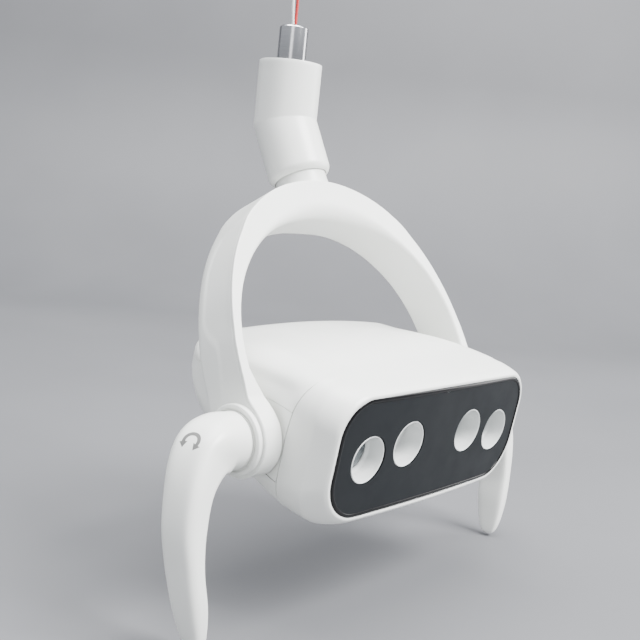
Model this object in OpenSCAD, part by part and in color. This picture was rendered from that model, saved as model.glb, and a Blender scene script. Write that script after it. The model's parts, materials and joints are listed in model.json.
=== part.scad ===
// Dental operating light: lamp pin, cranked elbow, yoke, tilting head and two detachable handles.
// The origin is on the pin's axis, halfway up its gripped length. +Z runs up the pin, -Y faces the patient.

/* [Lamp pin] */
// Diameter of the pin that plugs into the lamp arm
pin_d = 22; // [20:0.5:22]
// Gripped length of the pin
pin_grip = 25.2; // [20:0.2:30]
// Diameter of the hole for the leads
pin_bore_d = 15; // [10:0.5:16]

/* [Elbow] */
// Outer diameter of the elbow
elbow_d = 47.4; // [46:0.2:50]
// Height from the elbow's rim to its kink
elbow_rise = 45.3; // [44:0.1:50]
// Length of the lower leg, from the kink to the skirt's edge
elbow_drop = 46.5; // [45:0.5:50]
// Angle between the two legs
bend = 27.9; // [20:0.1:32]

/* [Yoke] */
// Distance from the kink down to the tilt axis
tilt_drop = 229.8; // [225:0.1:240]
// Outer half width of the yoke
yoke_half_w = 131; // [131:0.5:134]
// Depth of the yoke, front to back
yoke_depth = 37; // [34:0.5:40]
// Thickness of the crown under the neck
crown_thick = 27.5; // [26:0.5:30]
// Lateral thickness of each arm
arm_thick = 9; // [8.6:0.1:10]
// Radius of the round arm ends
arm_end_r = 24.5; // [23:0.5:26]

/* [Tilt pivot] */
// Journal radius of the pivot shafts
pivot_r = 7; // [6:0.5:7]
// Length of the handles' locking turn, in degrees
lock_turn = 40; // [30:1:60]
// Largest turn of the head downward from rest
tilt_down = 60; // [30:1:70]
// Largest turn of the head upward from rest
tilt_up = 45; // [20:1:60]

/* [Head] */
// Forward nod of the head
nod = 7.76; // [0:0.01:15]
// Wall thickness of the housings
wall = 2.2; // [1.8:0.1:2.6]
// Half width of the front panel
panel_half_w = 107.3; // [107:0.1:107.5]
// Distance from the tilt axis forward to the front face
face_y = 62.5; // [62:0.1:64]
// Radius of the front face's slight curve
face_radius = 2300; // [2000:50:3000]
// Spacing of the fins on the heat sink
fin_pitch = 9.5; // [8:0.5:12]

/* [Light openings] */
// Radius of the four openings
eye_r = 16.25; // [15:0.25:17]
// Distance of the inner openings from the middle
eye_inner_x = 35.9; // [34:0.1:38]
// Distance of the outer openings from the middle
eye_outer_x = 76.2; // [74:0.1:78]
// Height of the inner openings above the tilt axis
eye_z = 8; // [6:0.5:10]
// Drop of the outer openings below the inner ones
eye_drop = 5.1; // [3:0.1:7]
// Depth of the inner lenses behind the front face
eye_depth_inner = 18; // [17:0.5:19]
// Depth of the outer lenses behind the front face
eye_depth_outer = 13; // [12:0.5:14]

/* [Handles] */
// Radius of the handle's hub
hub_r = 18.3; // [18:0.1:19]
// Width of the handle's blade
blade_w = 25; // [22:0.5:26]
// Thickness of the handle's blade
blade_t = 16; // [14:0.5:18]

/* [Leads] */
// Diameter of each lead
lead_d = 2.2; // [1.8:0.1:2.6]

/* [Hidden] */
$fn = 64;
eye_names = ["left_outer", "left_inner", "right_inner", "right_outer"];

run = 0.04;
far = 300;

// Heights along the pin's axis
rim_z = -(pin_grip / 2 + 0.4);
shoulder_z = rim_z + 0.2;
grip_top = shoulder_z + pin_grip;
pin_chamfer = 1;
journal_r = 10;
flange_z = rim_z - 8;
flange_t = 3;
bush_top = flange_z - flange_t - 1.2;
bush_len = 15;
pin_end = bush_top - bush_len - 5;
kink_z = rim_z - elbow_rise;

// Heights along the neck's axis, from the kink down
stub_r = 9;
stub_top = -15;
nut_top = -17;
nut_t = 6;
stop_t = 1.5;
neck_bush_top = nut_top - nut_t - stop_t - 0.2;
neck_bush_end = -elbow_drop + 2.5;
crown_top = -56;
shell_w = 2.2;

// Tilt axis
tilt_y = -tilt_drop * sin(bend);
tilt_z = kink_z - tilt_drop * cos(bend);
disc_in = yoke_half_w - 16;
frame_x0 = yoke_half_w - 5.7;
frame_x1 = yoke_half_w - 2.7;
ring_x1 = yoke_half_w + 3.5;
hub_x0 = ring_x1 + 0.6;
pivot_end = hub_x0 + 23;
dowel_x = hub_x0 + 14;
dowel_r = 1.75;
wire_x = 119;
flange_x = 99;

// Radius of the lenses, and the front of the heat sink behind them
lens_r = 12.6;
sink_y = 28.4 - face_y;

// Curves of the yoke: superellipses of one exponent, with straight legs below
curve_n = 2.2;
outer_foot = -200;
outer_rise = 144;
inner_foot = -190;
inner_half_w = yoke_half_w - arm_thick;
inner_rise = -inner_foot + crown_top - crown_thick;

// Stations of the head's skin, front to back:
// [y, half width, top, bottom, top corner radius, bottom corner radius, seam height, crown of the top]
HEAD_FRONT = [
    [-62.5, 109.6, 46.6, -38.2, 26, 31, 0, 1.4],
    [-60, 111.6, 48.2, -40.8, 26, 31, 0, 1.4],
    [-54, 113.2, 49.3, -44, 26, 30, 0, 1.4],
    [-44, 114, 50.1, -45.6, 26, 28, 0, 1.5],
    [-33, 114.3, 50.9, -45.4, 27, 27, 0, 1.7],
    [-24, 114.3, 51.6, -44.4, 28, 26, 0, 2]
];
HEAD_REAR = [
    [-23.6, 112.6, 51.8, -43.6, 28, 25, 25, 2],
    [-12, 112.6, 52.7, -41.2, 28, 24, 25, 2.7],
    [0, 112.6, 53.1, -37.8, 28, 23, 25, 3.5],
    [14, 112.6, 52.8, -34, 27.5, 22, 25, 4.6],
    [28, 112.6, 51.9, -29.6, 26.5, 21, 25, 5.8],
    [42, 112, 50.8, -23.8, 25, 20, 25.4, 6.6],
    [54, 111, 49.6, -16.8, 23, 19, 26, 7],
    [64, 110, 48.8, -8.4, 21, 17, 26.6, 7],
    [73, 107.8, 47.6, 3, 18, 14, 27.6, 6.4],
    [79.5, 103, 45.2, 13, 14, 10, 29.4, 5],
    [83.5, 97, 41.6, 21, 9, 7, 31, 3],
    [85.2, 89.5, 37.6, 27.6, 4.5, 3.5, 32, 1.4],
    [85.8, 83.5, 33.1, 31.9, 0.4, 0.4, 32.5, 0]
];
bottom_crown = 1.6;
corner_steps = 6;

// Centre line of the right handle's blade, from the hub outward and down: [x, y, z] from the tilt axis
HANDLE_LINE = [
    [138, 0, 0], [150, 0, 0], [162.5, -3, -5], [174, -10, -20], [178.7, -16.5, -42],
    [177.7, -22, -65], [173.8, -27.5, -87], [170.6, -31.7, -104], [168.8, -34, -113], [168.4, -34.5, -115.4]
];
// Width and thickness of the blade at each of those points, as shares of blade_w and blade_t
HANDLE_SIZE = [
    [1.45, 2.26], [1.44, 2.2], [1.3, 1.8], [1.18, 1.2], [1.08, 1.06],
    [1.04, 0.85], [0.95, 0.82], [0.72, 0.62], [0.42, 0.42], [0.12, 0.14]
];

// Route of the two leads, up from inside the pin to the connector
WHITE_ROUTE = [[-1.3, 0, -5.8], [-1.6, 0, 4], [-1.8, 0, 13], [-2.6, 0, 19], [-3.4, 0, 25], [-3.8, 0, 31], [-3.6, 0, 37], [-3, 0, 43]];
RED_ROUTE = [[1.2, 0, -5.8], [1.4, 0, 4], [1, 0, 13], [0.8, 0, 19], [0.8, 0, 25], [0.8, 0, 31], [0.4, 0, 37], [0, 0, 43]];
connector_z = 43;

rear_end = HEAD_REAR[len(HEAD_REAR) - 1][0];

white = [0.93, 0.94, 0.91];
shade_white = [0.86, 0.87, 0.84];
steel = [0.72, 0.73, 0.75];
dark = [0.2, 0.22, 0.24];

// ---------- frames and helpers ----------

module at_neck() {
    translate([0, 0, kink_z]) rotate([-bend, 0, 0]) children();
}

module at_tilt() {
    translate([0, tilt_y, tilt_z]) rotate([nod, 0, 0]) children();
}

// Both sides, left and right
module both_sides() {
    children();
    mirror([1, 0, 0]) children();
}

// One side: -1 is left, 1 is right
module on_side(side) {
    mirror([side < 0 ? 1 : 0, 0, 0]) children();
}

module z_tube(r_out, r_in, z0, z1) {
    translate([0, 0, z0]) difference() {
        cylinder(r = r_out, h = z1 - z0);
        translate([0, 0, -1]) cylinder(r = r_in, h = z1 - z0 + 2);
    }
}

module x_rod(r, x0, x1) {
    translate([x0, 0, 0]) rotate([0, 90, 0]) cylinder(r = r, h = x1 - x0);
}

module x_tube(r_out, r_in, x0, x1) {
    difference() {
        x_rod(r_out, x0, x1);
        x_rod(r_in, x0 - 1, x1 + 1);
    }
}

// Part of a ring around the X axis, from an angle that is measured from +Y towards +Z
module x_sector(r_in, r_out, x0, x1, from, turn) {
    translate([x0, 0, 0]) rotate([0, 90, 0]) rotate([0, 0, 90 + from])
        rotate_extrude(angle = turn) translate([r_in, 0]) square([r_out - r_in, x1 - x0]);
}

module y_rod(r, y0, y1) {
    translate([0, y1, 0]) rotate([90, 0, 0]) cylinder(r = r, h = y1 - y0);
}

// A flat outline in x and z, as thick as from y0 to y1
module slab(y0, y1) {
    translate([0, y1, 0]) rotate([90, 0, 0]) linear_extrude(y1 - y0) children();
}

function unit(v) = v / norm(v);

// Faces that join two grids of points, outer then inner, each rows by cols, into one closed solid.
// A ring is closed around its columns, and a sheet is not.
function grid_faces(rows, cols, ring) = let(
    n = rows * cols,
    last = ring ? cols : cols - 1
) concat(
    [for (i = [0:rows - 2], j = [0:last - 1]) let(k = (j + 1) % cols)
        [i * cols + j, i * cols + k, (i + 1) * cols + k, (i + 1) * cols + j]],
    [for (i = [0:rows - 2], j = [0:last - 1]) let(k = (j + 1) % cols)
        [n + i * cols + j, n + (i + 1) * cols + j, n + (i + 1) * cols + k, n + i * cols + k]],
    [for (j = [0:last - 1]) let(k = (j + 1) % cols) [j, n + j, n + k, k]],
    [for (j = [0:last - 1]) let(k = (j + 1) % cols, b = (rows - 1) * cols) [b + j, b + k, n + b + k, n + b + j]],
    ring ? [] : [for (i = [0:rows - 2]) [i * cols, (i + 1) * cols, n + (i + 1) * cols, n + i * cols]],
    ring ? [] : [for (i = [0:rows - 2]) let(e = cols - 1)
        [i * cols + e, n + i * cols + e, n + (i + 1) * cols + e, (i + 1) * cols + e]]
);

// Faces of a tube of rings with flat ends
function tube_faces(rings, sides) = concat(
    [[for (j = [sides - 1:-1:0]) j]],
    [for (i = [0:rings - 2], j = [0:sides - 1]) let(k = (j + 1) % sides)
        [i * sides + j, i * sides + k, (i + 1) * sides + k, (i + 1) * sides + j]],
    [[for (j = [0:sides - 1]) (rings - 1) * sides + j]]
);

// Direction of a route at point i
function heading(route, i) = unit(route[min(i + 1, len(route) - 1)] - route[max(i - 1, 0)]);

// A round tube along a route
module tube_along(route, r, sides) {
    points = [for (i = [0:len(route) - 1]) let(
        t = heading(route, i),
        side = unit(cross(t, abs(t.y) < 0.9 ? [0, 1, 0] : [1, 0, 0])),
        up = cross(side, t)
    ) for (j = [0:sides - 1]) route[i] + r * (cos(360 * j / sides) * side + sin(360 * j / sides) * up)];
    polyhedron(points, [for (f = tube_faces(len(route), sides)) [for (k = [len(f) - 1:-1:0]) f[k]]], 4);
}

// ---------- lamp pin ----------

module lamp_pin() {
    color(steel) difference() {
        union() {
            translate([0, 0, shoulder_z]) cylinder(r = pin_d / 2, h = pin_grip);
            translate([0, 0, grip_top]) cylinder(r1 = pin_d / 2, r2 = pin_d / 2 - pin_chamfer, h = pin_chamfer);
            translate([0, 0, pin_end]) cylinder(r = journal_r, h = shoulder_z - pin_end + 0.5);
            translate([0, 0, flange_z - flange_t]) cylinder(r = 15.5, h = flange_t);
        }
        translate([0, 0, pin_end - 1]) cylinder(r = pin_bore_d / 2, h = grip_top - pin_end + 5);
        translate([0, 0, pin_end + 2.5]) y_rod(1.5, 0, 20);
    }
}

// Rests against the elbow's stop rib at either end of the swivel
module pin_stop_dowel() {
    color(steel) translate([0, 0, pin_end + 2.5]) y_rod(1.49, pin_bore_d / 2 + 0.3, 13.4);
}

module pin_thrust_washer() {
    color(shade_white) z_tube(15.4, journal_r + 0.1, flange_z, flange_z + 0.9);
}

// ---------- elbow ----------

// A leg's outline turned round its axis, cut at the mitre
module mitred(upper_top, lower_end, r, edge) {
    difference() {
        translate([0, 0, kink_z - r]) cylinder(r = r, h = upper_top - kink_z + r);
        mitre_side(-1);
    }
    difference() {
        at_neck() rotate_extrude() polygon(concat(
            [[0, r], [r, r]],
            [for (a = [0:15:90]) [r - edge + edge * cos(a), lower_end + edge - edge * sin(a)]],
            [[0, lower_end]]
        ));
        mitre_side(1);
    }
}

// The half of space above (1) or below (-1) the mitre plane
module mitre_side(side) {
    translate([0, 0, kink_z]) rotate([-bend / 2, 0, 0])
        translate([-far / 2, -far / 2, side > 0 ? 0 : -far]) cube(far);
}

module elbow_housing() {
    color(white) {
        difference() {
            mitred(rim_z, -elbow_drop, elbow_d / 2, 6);
            translate([0, 0, rim_z - 1.5]) cylinder(r = elbow_d / 2 - 1.8, h = 5);
            translate([0, 0, flange_z + 0.9]) cylinder(r = 19, h = 10);
            translate([0, 0, flange_z - flange_t - 1]) cylinder(r = 16, h = 12);
            translate([0, 0, bush_top - bush_len]) cylinder(r = 12.52, h = bush_len + 5);
            mitred_cavity();
            at_neck() translate([0, 0, -elbow_drop - 1]) cylinder(r = 11.52, h = 30);
            at_neck() translate([0, 0, -elbow_drop - 1]) cylinder(r = 19.9, h = 4);
            translate([0, 0, drag_z]) y_rod(2.5, 5, 30);
        }
        translate([-2, -15.8, pin_end + 0.4]) cube([4, 4.2, 4.2]);
        at_neck() translate([-2, -15.8, neck_bush_top - 0.1]) cube([4, 2.3, 1.5]);
    }
}

// The hollow between the two bearings
module mitred_cavity() {
    cavity_r = 15.5;
    difference() {
        translate([0, 0, kink_z - cavity_r]) cylinder(r = cavity_r, h = bush_top - bush_len - kink_z + cavity_r);
        mitre_side(-1);
    }
    difference() {
        at_neck() translate([0, 0, neck_bush_top]) cylinder(r = cavity_r, h = cavity_r - neck_bush_top);
        mitre_side(1);
    }
}

drag_z = bush_top - 7;

module pin_cap_ring() {
    color(white) difference() {
        z_tube(18.98, journal_r + run, flange_z + 0.95, rim_z - 1.6);
        for (a = [45:90:315]) rotate(a) translate([15, 0, rim_z - 3]) cylinder(r = 1.2, h = 3);
    }
}

module pin_bush() {
    color(shade_white) z_tube(12.5, journal_r + run, bush_top - bush_len + 0.1, bush_top - 0.1);
}

module drag_grub_screw() {
    color(steel) translate([0, 0, drag_z]) difference() {
        y_rod(2.48, 12.6, elbow_d / 2 - 2.5);
        y_rod(1.25, elbow_d / 2 - 5, elbow_d / 2);
    }
}

module neck_bush() {
    color(shade_white) at_neck() z_tube(11.5, stub_r + run, neck_bush_end, neck_bush_top - 0.05);
}

// ---------- yoke ----------

module neck_shaft() {
    color(steel) at_neck() difference() {
        union() {
            translate([0, 0, crown_top - 9.4]) cylinder(r = stub_r, h = stub_top - crown_top + 9.4);
            translate([0, 0, crown_top - 9.4]) cylinder(r = 14, h = 3);
        }
        translate([0, 0, crown_top - 10]) cylinder(r = 5.5, h = 60);
    }
}

module neck_collar() {
    color(white) at_neck() difference() {
        union() {
            difference() {
                translate([0, 0, crown_top - 2]) cylinder(r = 19.2, h = 14.5);
                slab(-far, far) arch_outline(-0.1);
            }
            translate([0, 0, crown_top - 2.5]) cylinder(r = 16.8, h = 5);
        }
        translate([0, 0, crown_top - 10]) cylinder(r = stub_r + 0.3, h = 40);
        translate([0, 0, crown_top + 8]) cylinder(r = 17, h = 10);
    }
}

module neck_stop_washer() {
    color(steel) at_neck() union() {
        z_tube(12.6, stub_r + 0.05, nut_top - nut_t - stop_t, nut_top - nut_t);
        translate([-2.5, 12, nut_top - nut_t - stop_t]) cube([5, 2.8, stop_t]);
    }
}

module neck_lock_nut() {
    color(steel) at_neck() difference() {
        translate([0, 0, nut_top - nut_t]) cylinder(r = 13.2, h = nut_t, $fn = 6);
        translate([0, 0, nut_top - nut_t - 1]) cylinder(r = stub_r, h = nut_t + 2);
    }
}

function arch_point(half_w, foot, rise, a) =
    [half_w * sign(cos(a)) * pow(abs(cos(a)), 2 / curve_n), foot + rise * pow(sin(a), 2 / curve_n)];

// Half of a superellipse, from the right foot over the top to the left foot
function arch_curve(half_w, foot, rise, steps) =
    [for (i = [0:steps]) arch_point(half_w, foot, rise, 180 * i / steps)];

// Outline of the arch between two curves grown or shrunk by a margin, with legs down to the tilt axis
module arch_outline(m) {
    leg = -tilt_drop;
    outer = arch_curve(yoke_half_w - m, outer_foot, outer_rise - m, 48);
    inner = arch_curve(inner_half_w + m, inner_foot, inner_rise + m, 40);
    polygon(concat(
        [[yoke_half_w - m, leg]], outer, [[-yoke_half_w + m, leg]],
        [[-disc_in - m, leg], [-disc_in - m, inner_foot - 22]],
        [for (i = [len(inner) - 1:-1:0]) inner[i]],
        [[disc_in + m, inner_foot - 22], [disc_in + m, leg]]
    ));
}

module arm_ends(r, x0, x1) {
    both_sides() translate([0, 0, -tilt_drop]) x_rod(r, x0, x1);
}

// The yoke's casing before it is split, hollow, with its holes
module yoke_casing() {
    half = yoke_depth / 2;
    difference() {
        union() {
            slab(-half, half) arch_outline(0);
            arm_ends(arm_end_r, disc_in, yoke_half_w);
        }
        slab(-half + shell_w, half - shell_w) arch_outline(shell_w);
        arm_ends(arm_end_r - shell_w, disc_in + shell_w, yoke_half_w - shell_w);
        both_sides() translate([0, 0, -tilt_drop]) x_rod(9.3, disc_in - 1, disc_in + 5);
        both_sides() translate([0, 0, -tilt_drop]) x_rod(14.3, yoke_half_w - 5, yoke_half_w + 5);
        translate([0, 0, crown_top - 6.6]) cylinder(r = 16.9, h = 20);
    }
}

// Space of the front shell: the front face, the inner wall of the arch and the arm ends' cups
module front_side(m) {
    half = yoke_depth / 2;
    inner = arch_curve(inner_half_w + shell_w + m, inner_foot, inner_rise + shell_w + m, 40);
    foot = disc_in + shell_w + m;
    slab(-far / 2, -half + shell_w + m) square(2 * far, center = true);
    slab(-far / 2, far / 2) polygon(concat(
        [[foot, -tilt_drop - 40], [foot, inner_foot - 22]], inner,
        [[-foot, inner_foot - 22], [-foot, -tilt_drop - 40]]
    ));
    translate([0, 0, -tilt_drop]) x_rod(arm_end_r + 1, -yoke_half_w + shell_w - m, yoke_half_w - shell_w + m);
}

// Screws that hold the rear shell to the front shell's pillars: [x, z]
YOKE_SCREW_POINTS = [[-30, -76], [30, -76], [-84, -98], [84, -98]];

module yoke_front_shell() {
    half = yoke_depth / 2;
    color(white) at_neck() difference() {
        union() {
            intersection() {
                yoke_casing();
                front_side(0);
            }
            for (p = YOKE_SCREW_POINTS) translate([p.x, 0, p.y]) y_rod(3.4, -half + 1, half - shell_w - 0.1);
        }
        for (p = YOKE_SCREW_POINTS) translate([p.x, 0, p.y]) y_rod(1.2, 2, half);
    }
}

module yoke_rear_shell() {
    half = yoke_depth / 2;
    color(white) at_neck() difference() {
        yoke_casing();
        front_side(0.12);
        for (p = YOKE_SCREW_POINTS) translate([p.x, 0, p.y]) {
            y_rod(1.5, 0, far);
            y_rod(2.9, half - 1.3, far);
        }
    }
}

module yoke_frame() {
    m0 = yoke_half_w - frame_x1;
    m1 = yoke_half_w - frame_x0;
    color(steel) at_neck() difference() {
        union() {
            slab(-12, 12) polygon(concat(
                [[frame_x1, -tilt_drop]],
                arch_curve(frame_x1, outer_foot, outer_rise - m0, 48),
                [[-frame_x1, -tilt_drop], [-frame_x0, -tilt_drop]],
                [for (p = [arch_curve(frame_x0, outer_foot, outer_rise - m1, 48)], i = [48:-1:0]) p[i]],
                [[frame_x0, -tilt_drop]]
            ));
            both_sides() translate([0, 0, -tilt_drop]) x_rod(19, frame_x0, frame_x1);
        }
        both_sides() translate([0, 0, -tilt_drop]) x_rod(9.02, frame_x0 - 1, frame_x1 + 1);
        translate([0, 0, crown_top - 20]) cylinder(r = stub_r + 0.02, h = 30);
    }
}

module yoke_screws() {
    half = yoke_depth / 2;
    color(steel) at_neck() for (p = YOKE_SCREW_POINTS) translate([p.x, 0, p.y]) union() {
        y_rod(1.18, 3, half - 1.2);
        y_rod(2.7, half - 1.3, half - 0.1);
    }
}

// Harness down the left arm, beside the frame, from the neck shaft to the left pivot bush
module yoke_harness() {
    x0 = (frame_x0 + frame_x1) / 2;
    run_down = [for (a = [112:7:175]) let(p = arch_point(x0, outer_foot, outer_rise - yoke_half_w + x0, a))
        [p.x, 14.1, p.y]];
    color(dark) at_neck() tube_along(concat(
        [[0, 0, crown_top - 6], [0, 0, crown_top - 10], [-5, 3, crown_top - 13], [-16, 8, crown_top - 13.5],
        [-30, 12.6, crown_top - 11]],
        run_down,
        [[-x0, 14.1, -195], [-x0 + 1.4, 14.1, -201], [-x0 + 3.8, 14.1, -206.5], [-x0 + 5.2, 14, -214],
        [-x0 + 6, 13.8, -222], [-119.6, 13, -227.5], [-119, 9.6, -229.8]]
    ), 1.5, 8);
}

// Cable from the leads through the elbow into the neck shaft
module elbow_harness() {
    color(dark) tube_along([
        [0, 0, -6], [0, 0, -20], [0, 0, -34], [0, 0, -46], [0, -0.6, kink_z + 4],
        [0, -3, kink_z - 8], [0, -12 * sin(bend) - 3, kink_z - 12 * cos(bend) - 6],
        [0, -30 * sin(bend), kink_z - 30 * cos(bend)], [0, -44 * sin(bend), kink_z - 44 * cos(bend)],
        [0, -58 * sin(bend), kink_z - 58 * cos(bend)]
    ], 2.4, 8);
}

module pivot_bush(side) {
    color(shade_white) at_tilt() on_side(side) difference() {
        union() {
            x_rod(9, disc_in - 0.2, frame_x1 + 0.4);
            x_rod(12.5, frame_x0 - 2.3, frame_x0 - 0.05);
        }
        x_rod(pivot_r + run, 0, far);
        if (side < 0) rotate([-bend - nod, 0, 0]) translate([wire_x, 0, 0]) y_rod(2, 0, 20);
    }
}

module arm_ring(side) {
    color(white) at_tilt() on_side(side) difference() {
        x_rod(22.3, yoke_half_w, ring_x1);
        x_rod(14.3, 0, far);
        translate([ring_x1 - 1.2, 0, 0]) x_tube(19.6, 18, 0, 5);
    }
}

// ---------- tilt pivot ----------

module pivot_shaft(side) {
    color(steel) at_tilt() on_side(side) difference() {
        union() {
            x_rod(pivot_r, flange_x, pivot_end);
            x_rod(15, flange_x, flange_x + 3);
        }
        x_rod(4, 0, far);
        for (a = [30:120:270]) rotate([a, 0, 0]) translate([0, 11.5, 0]) x_rod(1.65, 0, far);
        translate([dowel_x, 0, 0]) cylinder(r = dowel_r, h = 20);
        if (side < 0) x_sector(3, 8, wire_x - 2, wire_x + 2, -bend - nod - tilt_down - 21, tilt_up + tilt_down + 42);
    }
}

module tilt_friction_washers() {
    color(shade_white) at_tilt() both_sides() x_tube(17, pivot_r + 0.1, 112.9, disc_in - 0.3);
}

module tilt_spring_washers() {
    color(steel) at_tilt() both_sides() x_tube(12.4, pivot_r + 0.1, frame_x1 + 0.7, frame_x1 + 2.7);
}

module tilt_lock_nuts() {
    color(steel) at_tilt() both_sides() difference() {
        translate([frame_x1 + 2.9, 0, 0]) rotate([0, 90, 0]) cylinder(r = 12, h = 6, $fn = 6);
        x_rod(pivot_r, 0, far);
    }
}

module bayonet_dowels() {
    color(steel) at_tilt() both_sides() translate([dowel_x, 0, 4.2]) cylinder(r = dowel_r - 0.02, h = 5.4);
}

// ---------- handles ----------

// Point of the blade's section: flat outside, round inside, from a circle at the hub
function blade_section(w, t, round_share, sides) = [for (j = [0:sides - 1]) let(
    a = 360 * (j + 0.5) / sides,
    e = 1 - 0.45 * (1 - round_share)
) [t / 2 * sign(cos(a)) * pow(abs(cos(a)), cos(a) > 0 ? e : 1), w / 2 * sign(sin(a)) * pow(abs(sin(a)), e)]];

// A smooth curve through the points of a list, as many steps between each pair
function smooth(p, steps) = [for (i = [0:len(p) - 2], s = [0:(i == len(p) - 2 ? steps : steps - 1)]) let(
    t = s / steps,
    a = p[max(i - 1, 0)], b = p[i], c = p[i + 1], d = p[min(i + 2, len(p) - 1)]
) 0.5 * (2 * b + (c - a) * t + (2 * a - 5 * b + 4 * c - d) * t * t + (3 * b - a - 3 * c + d) * t * t * t)];

module handle_blade() {
    sides = 20;
    line = smooth(HANDLE_LINE, 3);
    size = smooth(HANDLE_SIZE, 3);
    rows = len(line);
    points = [for (i = [0:rows - 1]) let(
        t = heading(line, i),
        across = unit([0, 1, 0] - t * t.y),
        out = cross(across, t),
        sec = blade_section(size[i].x * blade_w, size[i].y * blade_t, max(0, 1 - i / 9), sides)
    ) for (q = sec) line[i] + q.x * -out + q.y * across];
    polyhedron(points, tube_faces(rows, sides), 4);
}

module handle(side) {
    color(white) at_tilt() on_side(side) difference() {
        union() {
            x_rod(hub_r, hub_x0, 151.3);
            handle_blade();
        }
        x_rod(14, hub_x0 - 1, hub_x0 + 5);
        x_rod(pivot_r + run, 0, pivot_end + 0.6);
        // bayonet groove, a sector as long as the locking turn, and the slot that leads into it
        x_sector(6, 10, dowel_x - 2.1, dowel_x + 2.1, 73 - lock_turn, lock_turn + 33);
        rotate([-lock_turn, 0, 0]) translate([hub_x0, -2, 5]) cube([dowel_x - hub_x0 + 2, 4, 5]);
    }
}

// ---------- head ----------

// Right half of a head section, from the seam over the top to the middle, or under the bottom
function corner(w, edge, r, up) = [for (i = [0:corner_steps]) let(a = 90 * i / corner_steps)
    [w - r + r * cos(a), edge + (up ? 1 : -1) * (r * sin(a) - r)]];

// Lowers (or raises) a point toward the seam by the crown at its distance from the middle
function crowned(p, w, edge, seam, crown) =
    [p.x, seam + (p.y - seam) * (1 - crown * pow(p.x / w, 2) / abs(edge - seam))];

function half_section(w, edge, r, seam, up, crown) = concat(
    [[w, seam]],
    [for (p = corner(w, edge, r, up)) crowned(p, w, edge, seam, crown)],
    [for (k = [0.6, 0.45, 0.3, 0.15]) crowned([w * k, edge], w, edge, seam, crown)]
);

// Section across the top (up) or the bottom, from the right seam to the left seam
function cap_section(s, inset, up) = let(
    w = s[1] - inset,
    seam = s[6],
    edge = up ? max(s[2] - inset, seam + 0.4) : min(s[3] + inset, seam - 0.4),
    r = max(min((up ? s[4] : s[5]) - inset, abs(edge - seam) - 0.05), 0.3),
    crown = min(up ? s[7] : bottom_crown, abs(edge - seam) * 0.5),
    h = half_section(w, edge, r, seam, up, crown)
) concat(h, [[0, edge]], [for (i = [len(h) - 1:-1:0]) [-h[i].x, h[i].y]]);

// How far the curved front face lies behind its middle
function face_sag(x) = x * x / (2 * face_radius);

function sag_share(y) = max(0, min(1, (-24 - y) / 30));

function lift(p, y) = [p.x, y + face_sag(p.x) * sag_share(y), p.y];

// Skin over the stations from top (up) or bottom seam to seam
module skin(stations, up, y_end) {
    cols = len(cap_section(stations[0], 0, up));
    outer = [for (s = stations, p = cap_section(s, 0, up)) lift(p, s[0])];
    inner = [for (s = stations, p = cap_section(s, wall, up)) lift(p, min(s[0], y_end - wall))];
    faces = grid_faces(len(stations), cols, false);
    polyhedron(concat(outer, inner), up ? faces : [for (f = faces) [for (k = [len(f) - 1:-1:0]) f[k]]], 4);
}

// Closed ring over the front stations
module front_skin(stations) {
    function ring(s, inset) = let(b = cap_section(s, inset, false))
        concat(cap_section(s, inset, true), [for (i = [len(b) - 2:-1:1]) b[i]]);
    cols = len(ring(stations[0], 0));
    outer = [for (s = stations, p = ring(s, 0)) lift(p, s[0])];
    inner = [for (s = stations, p = ring(s, wall)) lift(p, s[0])];
    polyhedron(concat(outer, inner), grid_faces(len(stations), cols, true), 4);
}

module front_housing() {
    color(white) at_tilt() difference() {
        front_skin(HEAD_FRONT);
        slab(-far, -face_y + 8) panel_outline(-0.06);
    }
}

module pivot_openings() {
    both_sides() x_rod(pivot_r + 1, 90, 130);
}

// Places of the screws that hold the covers together: [x, y]
HOUSING_SCREW_POINTS = [[-60, -6], [60, -6], [-60, 18], [60, 18]];

// Height of the covers' outside at a distance y behind the tilt axis
function cover_z(y, column) = lookup(y, [for (s = HEAD_REAR) [s[0], s[column]]]);

function shifted_seam(d) = [for (s = HEAD_REAR) [s[0], s[1], s[2], s[3], s[4], s[5], s[6] + d, s[7]]];

module top_cover() {
    color(white) at_tilt() skin(shifted_seam(0.1), true, rear_end);
}

module bottom_cover() {
    color(white) at_tilt() difference() {
        skin(shifted_seam(-0.1), false, rear_end);
        pivot_openings();
        for (p = HOUSING_SCREW_POINTS) translate([p.x, p.y, cover_z(p.y, 3)]) {
            translate([0, 0, -5]) cylinder(r = 2.9, h = 5.7);
            cylinder(r = 1.5, h = 12);
        }
    }
}

// Pillars between the covers, one over each screw
module cover_posts() {
    color(white) at_tilt() for (p = HOUSING_SCREW_POINTS) let(z0 = cover_z(p.y, 3), z1 = cover_z(p.y, 2) - 4.6)
        translate([p.x, p.y, z0 + 4]) difference() {
            cylinder(r = 3.6, h = z1 - z0 - 4);
            translate([0, 0, -1]) cylinder(r = 1.22, h = 18);
        }
}

// Width of the trim round the front panel
rim_t = 1.6;

// Outline of the front panel, shrunk by a margin
module panel_outline(m) {
    w = panel_half_w - m;
    top = 44.2 - m;
    bottom = -35.6 + m;
    rt = 24.5 - m;
    rb = 29.7 - m;
    polygon(concat(
        [for (a = [0:7.5:90]) [w - rt + rt * cos(a), top - rt + rt * sin(a)]],
        [for (a = [90:7.5:180]) [-w + rt + rt * cos(a), top - rt + rt * sin(a)]],
        [for (a = [180:7.5:270]) [-w + rb + rb * cos(a), bottom + rb + rb * sin(a)]],
        [for (a = [270:7.5:360]) [w - rb + rb * cos(a), bottom + rb + rb * sin(a)]]
    ));
}

// The layer between two depths behind the curved front face
module face_layer(d0, d1) {
    translate([0, face_radius - face_y, -far / 2]) difference() {
        cylinder(r = face_radius - d0, h = far, $fn = 240);
        translate([0, 0, -1]) cylinder(r = face_radius - d1, h = far + 2, $fn = 240);
    }
}

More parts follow.
